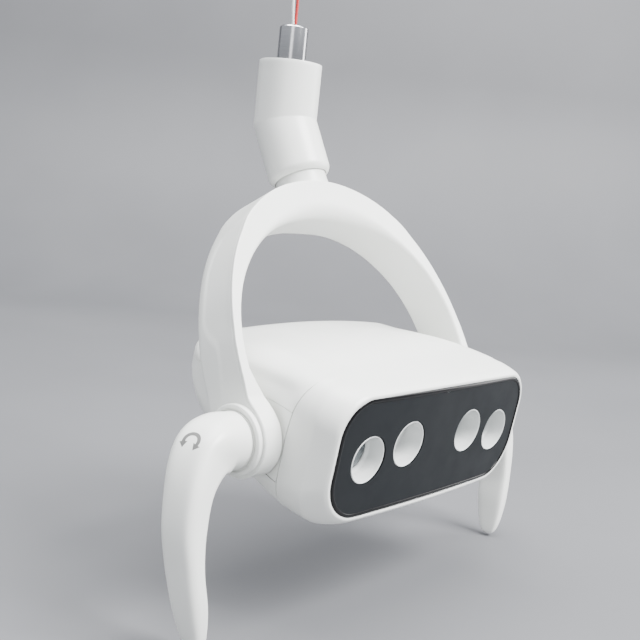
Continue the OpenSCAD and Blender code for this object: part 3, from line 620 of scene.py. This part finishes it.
def add_collar():
    """Neck of the yoke: a short tube under the skirt that flares onto the crown."""
    flare, flare_top, flare_height, steps = 0.8, -50.0, 7.2, 8
    outline = [(9.3, -66), (9.3, -43.4), (17.0, -43.4)]
    outline += [(18.6, -43.4), (19.0, -43.55), (SLEEVE_R, -44.0), (SLEEVE_R, flare_top)]
    for k in range(steps + 1):
        t = math.radians(90 * k / steps)
        outline.append((SLEEVE_R + flare * (1 - math.cos(t)), flare_top - flare_height * math.sin(t)))
    outline += [(19.6, -58.5), (16.8, -58.7), (16.8, -62)]
    collar = make_piece("neck_sleeve", *lathe(outline, 128), NECK)
    settle(collar, "yoke", "white_housing", WHITE, "neck_collar")


# ---------- yoke ----------

# The arch is a half superellipse with this power, outside and inside, from its foot up by its rise
CURVE_N = 2.2
YOKE_HALF_W = 131.0
ARM_IN_HALF_W = 122.0
DISC_IN = 115.0
ARM_END_R = 24.5
HALF_DEPTH = 18.5
OUTER_FOOT, OUTER_RISE = -200.0, 144.0
INNER_FOOT, INNER_RISE = -190.0, 106.5
SHELL = 2.2
SEAM_GAP = 0.22
# Ridge on the outer flank of each arm: (height on the neck's axis, depth behind the middle)
FLANK_RIDGE = [
    (-214, 5), (-206, 4.4), (-197, 1.9), (-187, -0.2), (-176, -1.7), (-170, -1), (-165, 3.4), (-158.4, 7.9),
    (-153.5, 9.6), (-145, 9), (-137, 8.2), (-128, 8), (-118, 7.6), (-111, 6.7), (-103, 5.4), (-97, 3),
    (-93.5, -2), (-90, -9), (-86, -15), (-82, -19),
]
# How far the ridge stands out, how the flank falls away before and behind it, and the step along it
RIDGE_OUT = 1.0
FRONT_SLOPE, REAR_SLOPE = 0.07, 0.06
RIDGE_STEP = 0.45


def arch_point(half_w, foot, rise, a):
    return half_w * math.cos(a) ** (2 / CURVE_N), foot + rise * math.sin(a) ** (2 / CURVE_N)


def arch_at(half_w, foot, rise, theta):
    """Point of the curve seen at an angle from the arch's middle, halfway between its feet."""
    lo, hi = 1e-9, math.pi / 2 - 1e-9
    for _ in range(50):
        mid = (lo + hi) / 2
        x, z = arch_point(half_w, foot, rise, mid)
        if math.atan2(z - INNER_FOOT, x) < theta:
            lo = mid
        else:
            hi = mid
    return arch_point(half_w, foot, rise, (lo + hi) / 2)


def arch_station(theta):
    """Outer and inner point (x, z) of the arch at an angle: 0 at the foot, a right angle at the crown."""
    outer = arch_at(YOKE_HALF_W, OUTER_FOOT, OUTER_RISE, theta)
    if theta > 0:
        return outer, arch_at(ARM_IN_HALF_W, INNER_FOOT, INNER_RISE, theta)
    return outer, (ARM_IN_HALF_W, INNER_FOOT)


def leg_station(z):
    """Outer and inner point (x, z) of an arm at a height below the arch's foot."""
    if z > OUTER_FOOT:
        share = clamp((z - OUTER_FOOT) / OUTER_RISE)
        outer_x = YOKE_HALF_W * (1 - share**CURVE_N) ** (1 / CURVE_N)
    else:
        outer_x = YOKE_HALF_W
    inner_x = mix(ARM_IN_HALF_W, DISC_IN, smoothstep(INNER_FOOT + 3, INNER_FOOT - 25, z))
    return (outer_x, z), (inner_x, z)


def arm_half_depth(z):
    """Half the depth of an arm: even above, and widened smoothly into its round end."""
    up = z + TILT_DROP
    if up >= ARM_END_R:
        return smooth_max(HALF_DEPTH, 0, 8)
    return smooth_max(HALF_DEPTH, math.sqrt(max(ARM_END_R**2 - up**2, 0)), 8)


def corner_radii(theta, z):
    """Roundings of the section, as (across the thickness, along the depth).

    They come in this order: front outer, front inner, rear inner, rear outer.
    """
    crown = smoothstep(math.radians(35), math.radians(85), theta)
    shoulder = smoothstep(0, math.radians(30), theta) * (1 - 0.5 * crown)
    end = smoothstep(-TILT_DROP + 34, -TILT_DROP + 10, z)
    front_inner = (mix(2.4, 11.0, crown), mix(2.6, 10.0, crown))
    rear_inner = (mix(1.6, 5.0, crown), mix(1.6, 5.0, crown))
    rear_outer = (mix(mix(2.2, 5.5, shoulder), 1.6, end), mix(mix(3.0, 9.0, shoulder), 1.6, end))
    front_outer = (mix(0.7, 1.4, end), mix(0.7, 1.4, end))
    return front_outer, front_inner, rear_inner, rear_outer


# Steps round a rounding, along the flank and across a face of the section
ARC = 8
FLANK = 22
FACE = 8


def section_points(thick, front, rear, radii):
    """One section's strips for the front shell and the rear shell, as (distance from the inner wall, depth).

    They run from the seam on the outer flank over the front face and the inner wall to the seam in the
    back face, and from there over the back to the flank again.
    """
    fo, fi, ri, ro = radii
    seam = front + SHELL
    first = [(thick, seam - SEAM_GAP / 2), (thick, mix(seam, front + fo[1], 0.5))]
    first += arc((thick - fo[0], front + fo[1]), fo, 0, -90, 4)
    first += line((thick - fo[0], front), (fi[0], front), FACE)
    first += arc((fi[0], front + fi[1]), fi, -90, -180, ARC)
    first += line((0, front + fi[1]), (0, rear - ri[1]), FLANK // 2)
    first += arc((ri[0], rear - ri[1]), ri, 180, 90, ARC // 2)
    split = max(SHELL, ri[0] + 0.4)
    first.append((split - SEAM_GAP / 2, rear))
    second = [(split + SEAM_GAP / 2, rear)]
    second += line((split + SEAM_GAP / 2, rear), (thick - ro[0], rear), FACE // 2)
    second += arc((thick - ro[0], rear - ro[1]), ro, 90, 0, ARC)
    second += line((thick, rear - ro[1]), (thick, seam + SEAM_GAP / 2), FLANK)
    second.append((thick, seam + SEAM_GAP / 2))
    return first, second


def line(a, b, steps):
    """Points between two, without its ends."""
    return [(mix(a[0], b[0], k / steps), mix(a[1], b[1], k / steps)) for k in range(1, steps)]


def arc(centre, radii, start, end, steps):
    """Points of an elliptic arc between two angles in degrees, with its ends."""
    made = []
    for k in range(steps + 1):
        t = math.radians(mix(start, end, k / steps))
        made.append((centre[0] + radii[0] * math.cos(t), centre[1] + radii[1] * math.sin(t)))
    return made


def flank_sink(z, y):
    """How far the outer flank lies inside its widest line, as it falls away before and behind the ridge."""
    end_top = -TILT_DROP + ARM_END_R
    shares = smoothstep(end_top - 6, end_top + 12, z) * smoothstep(-78, -92, z)
    ridge = lookup(z, FLANK_RIDGE)
    ahead = FRONT_SLOPE * smooth_max(ridge - y, 0, 1.2)
    behind = REAR_SLOPE * (y + HALF_DEPTH)
    step = RIDGE_STEP * smoothstep(ridge + 0.8, ridge - 0.8, y)
    return (min(ahead, 1.5) + step + behind - RIDGE_OUT) * shares


def yoke_stations():
    """Stations of one arm, from the bottom of its round end up to the crown: (outer, inner, theta)."""
    made = []
    end_steps, leg_step, steps = 14, 1.5, 72
    for k in range(1, end_steps + 1):
        z = -TILT_DROP - ARM_END_R * math.cos(math.radians(90 * k / end_steps)) * 0.9995
        made.append((*leg_station(z), 0))
    z = -TILT_DROP
    while z < INNER_FOOT - 1:
        z += leg_step
        made.append((*leg_station(min(z, INNER_FOOT - 0.5)), 0))
    for k in range(steps + 1):
        theta = math.pi / 2 * k / steps
        made.append((*arch_station(min(theta, math.pi / 2 - 1e-6)), theta))
    return made


def yoke_loop(station, side):
    """Points of a section in the neck's frame, for the front shell and the rear shell."""
    outer, inner, theta = station
    o, i = Vector((outer[0], outer[1])), Vector((inner[0], inner[1]))
    thick = (o - i).length
    across = (o - i) / thick
    if outer[1] < -TILT_DROP:
        depth = math.sqrt(max(ARM_END_R**2 - (outer[1] + TILT_DROP) ** 2, 0.04))
    else:
        depth = arm_half_depth(outer[1])
    bulge = 1.6 * math.exp(-((outer[0] / 26) ** 2))
    front, rear = -depth - bulge, depth + bulge
    radii = corner_radii(theta, outer[1])
    if outer[1] < -TILT_DROP:
        share = clamp(depth / 8)
        radii = [(rx * mix(0.4, 1, share), ry * share) for rx, ry in radii]
    strips = []
    for points in section_strips(thick, front, rear, radii, depth):
        strip = []
        for u, y in points:
            p = i + across * u * (1 - flank_sink(outer[1], y) / thick)
            strip.append((side * p.x, y, p.y))
        strips.append(strip)
    return strips


def section_strips(thick, front, rear, radii, depth):
    """The section's two strips; near the bottom of the round end the seam closes up with the depth."""
    if depth >= SHELL + 1:
        return section_points(thick, front, rear, radii)
    squeeze = depth / (SHELL + 1)
    wide = section_points(thick, -(SHELL + 1), SHELL + 1, radii)
    return [[(u, y * squeeze) for u, y in strip] for strip in wide]


def add_yoke():
    shells = (("arch_front", "yoke_front_shell"), ("arch_rear", "yoke_rear_shell"))
    right = yoke_stations()
    loops = [yoke_loop(s, 1) for s in right] + [yoke_loop(s, -1) for s in right[-2::-1]]
    for index, (name, node) in enumerate(shells):
        strips = [loop[index] for loop in loops]
        cols = len(strips[0])
        points = [p for strip in strips for p in strip]
        shell = make_piece(name, points, grid_faces(len(strips), cols, False, False), NECK, 30)
        face_outward(shell)
        thicken(shell, SHELL, 0.2)
        bake(shell, 30)
        cut(shell, yoke_holes(index))
        settle(shell, "yoke", "white_housing", WHITE, node)


def face_outward(piece):
    """Turns the faces of a yoke shell so that they look away from the middle of the arch's band."""
    work = bmesh.new()
    work.from_mesh(piece.data)
    home = NECK.inverted()
    votes = 0.0
    for face in work.faces:
        c = home @ (face.calc_center_median() / MM)
        normal = (home.to_3x3() @ face.normal).normalized()
        votes += face.calc_area() * normal.dot(c - band_middle(c))
    if votes < 0:
        bmesh.ops.reverse_faces(work, faces=work.faces)
    work.to_mesh(piece.data)
    work.free()
    shade(piece, 30)


def band_middle(c):
    """A point inside the yoke's band near c, on its middle line."""
    if c.z < INNER_FOOT:
        x = sign(c.x) * (YOKE_HALF_W + (ARM_IN_HALF_W if c.z > -205 else DISC_IN)) / 2
        return Vector((x, 0, max(c.z, -TILT_DROP)))
    theta = math.atan2(c.z - INNER_FOOT, abs(c.x))
    outer, inner = arch_station(clamp(theta, 1e-6, math.pi / 2 - 1e-6))
    return Vector((sign(c.x) * (outer[0] + inner[0]) / 2, 0, (outer[1] + inner[1]) / 2))


YOKE_SCREWS = [(-30, -76), (30, -76), (-84, -98), (84, -98)]
SHAFT_HOLE_R = 9.3
HUB_HOLE_R = 14.3
SLEEVE_HOLE_R = 16.9
SCREW_HOLE_R = 2.9


def yoke_holes(index):
    """Cutters: the bores of the pivots and of the neck, and the screws' counterbores at the back."""
    made = []
    for side in (-1, 1):
        for x0, x1, radius in (
            (DISC_IN - 2, DISC_IN + 5, SHAFT_HOLE_R),
            (YOKE_HALF_W - 5, YOKE_HALF_W + 5, HUB_HOLE_R),
        ):
            made.append(rod((side * x0, 0, -TILT_DROP), (side * x1, 0, -TILT_DROP), radius, NECK))
    made.append(rod((0, 0, -61.5), (0, 0, -40), SLEEVE_HOLE_R, NECK, 64))
    if index == 1:
        for x, z in YOKE_SCREWS:
            made.append(rod((x, HALF_DEPTH - 8, z), (x, HALF_DEPTH + 8, z), SCREW_HOLE_R, NECK, 32))
    return made


def add_arm_rings():
    """Collar ring at the end of each arm, with the groove in its outer face."""
    for side, word in ((-1, "left"), (1, "right")):
        x0, x1 = YOKE_HALF_W - 0.05, YOKE_HALF_W + 3.5
        outline = fillet(
            [
                (HUB_HOLE_R, x0, 0), (22.3, x0, 0), (22.3, x1, 1.1), (19.6, x1, 0.3), (19.6, x1 - 1.2, 0.2),
                (18.0, x1 - 1.2, 0.2), (18.0, x1, 0.3), (HUB_HOLE_R, x1, 0.3),
            ]
        )
        points, faces = lathe([(r, side * x) for r, x in outline], 112, "X")
        ring = make_piece(f"{word}_collar_ring", points, faces, HEAD)
        settle(ring, "yoke", "white_housing", WHITE, f"{word}_arm_ring")


# ---------- handles ----------

# Middle line of the right handle, in the head's frame
HANDLE_LINE = [
    (138, 0, 0), (150, 0, 0), (162.5, -3, -5), (174, -10, -20), (178.7, -16.5, -42),
    (177.7, -22, -65), (173.8, -27.5, -87), (170.6, -31.7, -104), (168.8, -34, -113), (168.4, -34.5, -115.4),
]
# Its width and thickness there, as shares of the blade's
HANDLE_SIZE = [
    (1.45, 2.26), (1.44, 2.2), (1.3, 1.8), (1.18, 1.2), (1.08, 1.06),
    (1.04, 0.85), (0.95, 0.82), (0.72, 0.62), (0.42, 0.42), (0.12, 0.14),
]
BLADE_W, BLADE_T = 25.0, 16.0
HUB_X = 135.1
# (distance out along the tilt axis, radius) from the bottom of the hub's socket to its outer edge
HUB_RINGS = [(12, 7.04), (5, 7.04), (5, 14.0), (0, 14.0), (0, 17.6), (0.25, 18.0), (0.8, 18.12)]
HANDLE_SIDES = 96
HANDLE_STEPS = 8
ARROW_LIFT = 0.06


def blade_ring(centre, heading, width, thick, flat):
    """Section of the blade square to its line: flat outside and round inside, from a circle at the hub."""
    across = (Vector((0, 1, 0)) - heading * heading.y).normalized()
    out = heading.cross(across)
    power = 1 - 0.62 * flat
    made = []
    for j in range(HANDLE_SIDES):
        a = math.tau * (j + 0.5) / HANDLE_SIDES
        c, s = math.cos(a), math.sin(a)
        u = thick / 2 * sign(c) * abs(c) ** (power if c > 0 else 1)
        v = width / 2 * sign(s) * abs(s) ** power
        made.append(centre - out * u + across * v)
    return made


def handle_rings():
    """Rings of the right handle, out of the hub's socket and along the blade to its tip."""
    line_points = [Vector(p) for p in smooth_rows(HANDLE_LINE, HANDLE_STEPS)]
    sizes = smooth_rows(HANDLE_SIZE, HANDLE_STEPS)
    last = len(line_points) - 1
    rings = []
    x_axis = Vector((1, 0, 0))
    for out, r in HUB_RINGS:
        rings.append(blade_ring(Vector((HUB_X + out, 0, 0)), x_axis, 2 * r, 2 * r, 0))
    for i, (p, (w, t)) in enumerate(zip(line_points, sizes)):
        heading = (line_points[min(i + 1, last)] - line_points[max(i - 1, 0)]).normalized()
        flat = smoothstep(0.3, 1.9, i / HANDLE_STEPS)
        rings.append(blade_ring(p, heading, w * BLADE_W, t * BLADE_T, flat))
    return rings


def add_handle(side, word):
    rings = handle_rings()
    points = [(side * p.x, p.y, p.z) for ring in rings for p in ring]
    n = HANDLE_SIDES
    faces = grid_faces(len(rings), n)
    faces.append(tuple(range(n))[::-1])
    faces.append(tuple(range((len(rings) - 1) * n, len(rings) * n)))
    handle = make_piece(f"{word}_grip", points, faces, HEAD, 50)
    settle(handle, f"{word}_handle", "white_housing", WHITE, f"{word}_handle")
    add_arrow(handle, side, word)


def arrow_outline():
    """A curved double arrow as flat points (right, up) and faces: an arc with a head at each end."""
    radius, half, first, last, steps = 5.0, 1.15, -4, 206, 30
    flat = []
    for k in range(steps + 1):
        t = math.radians(mix(first, last, k / steps))
        flat += [(r * math.cos(t), r * math.sin(t)) for r in (radius - half, radius + half)]
    faces = [(2 * k, 2 * k + 1, 2 * k + 3, 2 * k + 2) for k in range(steps)]
    for degrees, way in ((first, -1), (last, 1)):
        t = math.radians(degrees)
        out, along = (math.cos(t), math.sin(t)), (-way * math.sin(t), way * math.cos(t))
        base = len(flat)
        for aside, a in ((-2.7, 0), (0, 0), (2.7, 0), (-1.35, 1.9), (1.35, 1.9), (0, 3.8)):
            r = radius + aside
            flat.append((out[0] * r + along[0] * a, out[1] * r + along[1] * a))
        faces += [(base, base + 1, base + 3), (base + 1, base + 4, base + 3)]
        faces += [(base + 1, base + 2, base + 4), (base + 3, base + 4, base + 5)]
    return flat, faces


def add_arrow(handle, side, word):
    """The arrow printed on the flat face near the hub, laid on the surface."""
    tree = BVHTree.FromObject(handle, bpy.context.evaluated_depsgraph_get())
    centre = Vector((side * 171.4, -2.6, 5.4))
    normal = Vector((side * 0.70, -0.03, 0.71)).normalized()
    forward = Vector((0, -1, 0))
    right = (forward - normal * normal.dot(forward)).normalized()
    up = normal.cross(right)
    if up.z < 0:
        up = -up
    flat, faces = arrow_outline()
    way = (HEAD.to_3x3() @ -normal).normalized()
    points = []
    for u, v in flat:
        start = HEAD @ (centre + right * u + up * v + normal * 30)
        spot, face_normal, _, _ = tree.ray_cast(start * MM, way)
        points.append((spot + face_normal * ARROW_LIFT * MM) / MM)
    arrow = make_piece(f"{word}_arrow_print", points, faces, ROW)
    arrow.data.materials.append(ARROW)
    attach(arrow, f"{word}_handle")


# ---------- head ----------

# (y, half width, top, bottom, top corner radius, bottom corner radius, seam height, crown of the top)
HEAD_FRONT = [
    (-62.5, 109.6, 46.6, -38.2, 26, 31, 0, 1.4), (-60, 110.9, 48.0, -40.4, 26, 31, 0, 1.4),
    (-54, 112.5, 49.2, -43.6, 26, 30, 0, 1.4), (-47, 114.0, 50.0, -45.4, 26, 28, 0, 1.5),
    (-43, 114.3, 50.3, -45.7, 26, 28, 0, 1.5), (-33, 114.3, 51.1, -45.4, 27, 27, 0, 1.7),
    (-24, 114.3, 51.7, -44.4, 26.6, 26, 0, 2),
]
HEAD_REAR = [
    (-23.95, 114.3, 51.7, -44.2, 26.6, 25, 25, 2), (-12, 114.3, 52.7, -41.2, 27, 24, 25, 2.7),
    (0, 114.3, 53.1, -37.8, 28, 23, 25, 3.5), (14, 114.3, 52.8, -34, 27.5, 22, 25, 4.6),
    (28, 114.1, 51.9, -29.6, 26.5, 21, 25, 5.8), (42, 112.6, 50.8, -23.8, 25, 20, 25.4, 6.6),
    (54, 111, 49.6, -16.8, 23, 19, 26, 7), (64, 110, 48.8, -8.4, 21, 17, 26.6, 7),
    (73, 107.8, 47.6, 3, 18, 14, 27.6, 6.4), (79.5, 103, 45.2, 13, 14, 10, 29.4, 5),
    (83.5, 97, 41.6, 21, 9, 7, 31, 3), (85.2, 89.5, 37.6, 27.6, 4.5, 3.5, 32, 1.4),
    (85.8, 83.5, 33.1, 31.9, 0.4, 0.4, 32.5, 0),
]
BOTTOM_CROWN = 1.6
FACE_RADIUS = 2300.0
CORNER = 20
SIDE_DEEP = 3.2
SEAM_GAP_SIDE = 0.55
CASE_WALL = 2.1


def half_outline(s, up, inset=0.0):
    """Right half of a section of the head, from its seam over the top, or under the bottom, to the middle."""
    _, w, top, bottom, rt, rb, seam, crown = s
    w -= inset
    edge = top - inset if up else bottom + inset
    room = abs(edge - seam)
    r = clamp((rt if up else rb) - inset, 0.3, room - 0.05)
    c = min(crown if up else BOTTOM_CROWN, room * 0.5)
    d = 1 if up else -1
    made = [(w, mix(seam, edge - d * r, k / 8)) for k in range(8)]
    for k in range(CORNER + 1):
        t = math.pi / 2 * k / CORNER
        made.append((w - r + r * math.cos(t), edge + d * (r * math.sin(t) - r)))
    made += [((w - r) * k / 14, edge) for k in range(13, -1, -1)]
    return [(x, seam + (z - seam) * (1 - c * (x / w) ** 2 / room)) for x, z in made]


def side_recess(y, z):
    """How far the sides of the covers are sunk under the top's overhanging edge, behind the front housing."""
    fade = smoothstep(-25, -6, y) * (1 - smoothstep(14, 52, y))
    return SIDE_DEEP * fade * smoothstep(-34, -6, z) * (1 - smoothstep(33.5, 43.5, z))


def skin_point(x, y, z, recess):
    """A point of the skin in the head's frame, with the curved face's lag and the sides' recess."""
    lag = x * x / (2 * FACE_RADIUS) * clamp((-24 - y) / 30)
    side = smoothstep(60, 100, abs(x))
    gap = 0
    if recess:
        x = sign(x) * (abs(x) - side * side_recess(y, z))
        gap = SEAM_GAP_SIDE * smoothstep(100, 112, abs(x)) * (1 - smoothstep(41, 45, z)) * (y < -20)
    return (x, y + lag + gap + side * seam_shift(y, z), z)


def seam_shift(y, z):
    """The side seam leans forward toward the top, and takes the skin near it along."""
    near = smoothstep(-40, -26, y) * (1 - smoothstep(-22, 10, y))
    return -8.0 * clamp((z - 5) / 45) ** 2 * near


def cap_row(s, up):
    """One row of a cover, from its seam on the right over the middle to its seam on the left."""
    half = half_outline(s, up)
    row = [skin_point(x, s[0], z, True) for x, z in half]
    return row + [(-x, y, z) for x, y, z in row[-2::-1]]


# The front edge's lip round the trim, as (inset, distance behind the first section)
FRONT_LIP = [(2.25, 4.0), (2.25, 0.5), (2.0, 0.12), (1.5, 0.0), (0.9, 0.0), (0.45, 0.12)]


def add_front_housing():
    rows = []
    first = HEAD_FRONT[0]
    for inset, y in FRONT_LIP:
        rows.append(front_ring((first[0] + y, *first[1:]), inset))
    for s in smooth_rows([(-62.2, *first[1:]), *HEAD_FRONT[1:]], 5):
        rows.append(front_ring(s, 0))
    points = [p for row in rows for p in row]
    housing = make_piece("head_front_ring", points, grid_faces(len(rows), len(rows[0])), HEAD, 35)
    thicken(housing, CASE_WALL, 0)
    bake(housing)
    settle(housing, "head", "white_housing", WHITE, "front_housing")


def front_ring(s, inset):
    """A closed section of the front housing."""
    top = half_outline(s, True, inset)
    bottom = half_outline(s, False, inset)
    half = top[::-1] + bottom[1:]
    right = [skin_point(x, s[0], z, False) for x, z in half]
    left = [(-x, y, z) for x, y, z in right[-2:0:-1]]
    return right + left


def shifted(rows, d):
    """The sections with their side seam moved by a distance."""
    return [(*s[:6], s[6] + d, s[7]) for s in rows]


def add_cover(name, node, up):
    gap = 0.15 if up else -0.15
    stations = smooth_rows(shifted(HEAD_REAR, gap), 4)
    rows = [cap_row(s, up) for s in stations]
    points = [p for row in rows for p in row]
    cover = make_piece(name, points, grid_faces(len(rows), len(rows[0]), False, False), HEAD, 40)
    thicken(cover, CASE_WALL, 0)
    bake(cover, 40)
    if not up:
        cut(cover, cover_holes())
    settle(cover, "head", "white_housing", WHITE, node)


COVER_SCREWS = [(-60, -6), (60, -6), (-60, 18), (60, 18)]


def cover_holes():
    """Cutters: the pivots' holes, the screws' stepped holes and the side slots."""
    made = [rod((side * 90, 0, 0), (side * 130, 0, 0), 8, HEAD) for side in (-1, 1)]
    for x, y in COVER_SCREWS:
        low = lookup(y, [(s[0], s[3]) for s in HEAD_REAR])
        made.append(rod((x, y, low - 5), (x, y, low + 0.7), SCREW_HOLE_R, HEAD, 32))
        made.append(rod((x, y, low - 5), (x, y, low + 12), 1.5, HEAD, 24))
    made += [side_slot(side) for side in (-1, 1)]
    return made


def side_slot(side):
    """Cutter for the short slot low on the side, just behind the front housing."""
    points = []
    for x in (110.6, 116):
        for y, z in ((-23, -21.2), (-23, -22.0), (-9.5, -20.4), (-9.5, -19.6)):
            points.append((side * x, y, z))
    faces = grid_faces(2, 4) + [(3, 2, 1, 0), (4, 5, 6, 7)]
    return make_piece("cutter", points, faces, HEAD)


# ---------- panel and light openings ----------

FACE_Y = -62.5
PANEL_SHAPE = {"half": 107.3, "top": 44.2, "bottom": -35.6, "rt": 24.5, "rb": 29.7}
TRIM_W = 3.0
TRIM_GAP = 0.06
PLATE_WALL = 2.9
PLATE_STEP = 8
EYE_R = 16.25
EYES = {
    "left_outer": (-76.2, 2.9),
    "left_inner": (-35.9, 8.0),
    "right_inner": (35.9, 8.0),
    "right_outer": (76.2, 2.9),
}
# How far each lens lies behind the face
EYE_DEPTH = {"inner": 18.0, "outer": 13.0}
LENS_R = 12.6


def panel_outline(inset):
    """The panel's rounded outline (x, z), pulled in by an inset."""
    steps = 24
    w = PANEL_SHAPE["half"] - inset
    top, bottom = PANEL_SHAPE["top"] - inset, PANEL_SHAPE["bottom"] + inset
    rt, rb = PANEL_SHAPE["rt"] - inset, PANEL_SHAPE["rb"] - inset
    made = []
    for cx, cz, r, start in (
        (w - rt, top - rt, rt, 0),
        (-w + rt, top - rt, rt, 90),
        (-w + rb, bottom + rb, rb, 180),
        (w - rb, bottom + rb, rb, 270),
    ):
        for k in range(steps + 1):
            t = math.radians(start + 90 * k / steps)
            made.append((cx + r * math.cos(t), cz + r * math.sin(t)))
    return densify(made, 6.0)


def densify(outline, step):
    """The closed outline with points added where they lie more than a step apart."""
    made = []
    for i, (x, z) in enumerate(outline):
        nx, nz = outline[(i + 1) % len(outline)]
        count = max(1, round(math.hypot(nx - x, nz - z) / step))
        made += [(mix(x, nx, k / count), mix(z, nz, k / count)) for k in range(count)]
    return made


def face_at(x, z, depth):
    """A point at a depth behind the curved front face."""
    return (x, FACE_Y + x * x / (2 * FACE_RADIUS) + depth, z)


def add_gasket():
    """Glossy trim round the panel: a raised, bevelled ring."""
    profile = [
        (0.0, 4.4), (0.0, 0.75), (0.12, 0.35), (0.4, 0.0), (0.85, -0.3), (1.4, -0.5), (2.0, -0.57),
        (2.5, -0.5), (2.8, -0.3), (2.95, -0.05), (TRIM_W, 0.3), (TRIM_W, 4.4),
    ]
    rings = [panel_outline(inset) for inset, _ in profile]
    count = min(len(r) for r in rings)
    rings = [resample(r, count) for r in rings]
    points = [face_at(x, z, d) for ring, (_, d) in zip(rings, profile) for x, z in ring]
    gasket = make_piece("panel_trim", points, grid_faces(len(profile), count, True, True), HEAD, 30)
    settle(gasket, "head", "black_trim", TRIM, "panel_gasket")


def resample(outline, count):
    """The outline as count points, evenly spaced from its start."""
    lengths = [0.0]
    closed = [*outline, outline[0]]
    for a, b in zip(closed, closed[1:]):
        lengths.append(lengths[-1] + math.hypot(b[0] - a[0], b[1] - a[1]))
    made, k = [], 0
    for i in range(count):
        want = lengths[-1] * i / count
        while lengths[k + 1] < want:
            k += 1
        t = (want - lengths[k]) / max(lengths[k + 1] - lengths[k], 1e-9)
        made.append((mix(closed[k][0], closed[k + 1][0], t), mix(closed[k][1], closed[k + 1][1], t)))
    return made


def hole_outline(x, z):
    """The circle of a light opening in the panel."""
    sides = 96
    turns = [math.tau * k / sides for k in range(sides)]
    return [(x + EYE_R * math.cos(t), z + EYE_R * math.sin(t)) for t in turns]


def add_panel():
    """The dark plate, bent to the face's curve, with its four round openings."""
    work = bmesh.new()
    outlines = [panel_outline(TRIM_W + TRIM_GAP)] + [hole_outline(x, z) for x, z in EYES.values()]
    edges = []
    for outline in outlines:
        rim = [work.verts.new((x, 0, z)) for x, z in outline]
        edges += [work.edges.new((rim[k], rim[(k + 1) % len(rim)])) for k in range(len(rim))]
    bmesh.ops.triangle_fill(work, use_beauty=True, use_dissolve=False, edges=edges)
    bmesh.ops.recalc_face_normals(work, faces=work.faces)
    width = int(PANEL_SHAPE["half"] // PLATE_STEP)
    for k in range(-width, width + 1):
        geometry = work.verts[:] + work.edges[:] + work.faces[:]
        bmesh.ops.bisect_plane(work, geom=geometry, plane_co=(k * PLATE_STEP, 0, 0), plane_no=(1, 0, 0))
    if sum(f.normal.y * f.calc_area() for f in work.faces) > 0:
        bmesh.ops.reverse_faces(work, faces=work.faces)
    for v in work.verts:
        v.co = (HEAD @ Vector(face_at(v.co.x, v.co.z, 0))) * MM
    mesh = bpy.data.meshes.new("panel_plate")
    work.to_mesh(mesh)
    work.free()
    plate = bpy.data.objects.new("panel_plate", mesh)
    bpy.context.scene.collection.objects.link(plate)
    thicken(plate, PLATE_WALL, 0.3)
    bake(plate, 30)
    plate.data.shade_flat()
    settle(plate, "head", "dark_panel", PANEL_SATIN, "front_panel")


def eye_frame(x, z):
    """A frame at an opening: its +Z runs into the head."""
    return HEAD @ Matrix.Translation(face_at(x, z, 0)) @ Matrix.Rotation(math.radians(-90), 4, "X")


def add_eye(word, x, z):
    """Reflector tube with its chamfer, the lens at the bottom and the light source behind it."""
    place = eye_frame(x, z)
    d = EYE_DEPTH[word.split("_")[1]]
    cup = fillet(
        [
            (EYE_R - 0.4, 0.35, 0.5), (EYE_R - 1.4, 0.35, 0.5), (14.1, d - 2.2, 1.5), (LENS_R + 0.2, d, 0.3),
            (LENS_R + 0.1, d + 3.2, 0.3), (11, d + 3.2, 0.3), (11, d + 5.3, 0.3), (15, d + 5.3, 0.6),
            (15, d - 1, 1), (EYE_R - 0.4, d - 5, 1),
        ]
    )
    tube = make_piece(f"{word}_cup", *lathe(cup, 112), place)
    settle(tube, "head", "white_reflector", REFLECTOR, f"{word}_reflector")
    front = d + 0.3
    dome, steps = 1.6, 10
    outline = [(0, front - dome)]
    for k in range(1, steps + 1):
        r = 11.6 * k / steps
        outline.append((r, front - dome * (1 - (r / 11.8) ** 2)))
    outline += [
        (11.9, front + 0.25), (12.55, front + 0.3), (12.55, front + 2.6),
        (12.2, front + 2.75), (0, front + 2.75),
    ]
    glass_disc = make_piece(f"{word}_glass", *lathe(outline, 96), place)
    settle(glass_disc, "head", "lens_glass", GLASS, f"{word}_lens")
    lo = d + 4.6  # the chip's face, behind the lens
    board = fillet(
        [
            (0, lo + 2.4, 0), (10, lo + 2.4, 0.2), (10, lo + 0.8, 0.2),
            (3.0, lo + 0.8, 0.05), (2.9, lo + 0.1, 0.3), (0, lo, 0),
        ],
        3,
    )
    chip = make_piece(f"{word}_chip", *lathe(board, 64), place)
    settle(chip, "head", "led_module", LED, f"{word}_led")


# ---------- the whole ----------

add_camera()
plug = add_connector()
add_lead("supply_lead_white", "white_lead", WHITE_ROUTE, LEAD_WHITE, "white_lead")
add_lead("supply_lead_red", "red_lead", RED_ROUTE, LEAD_RED, "red_lead")
finish_cad_nodes()
add_pin()
add_cap_ring()
add_elbow()
add_collar()
add_yoke()
add_arm_rings()
add_handle(-1, "left")
add_handle(1, "right")
add_front_housing()
add_cover("head_top_shell", "top_cover", True)
add_cover("head_bottom_shell", "bottom_cover", False)
add_gasket()
add_panel()
for word, (x, z) in EYES.items():
    add_eye(word, x, z)
add_floor()
add_world()
for softbox in SOFTBOXES:
    add_softbox(*softbox)
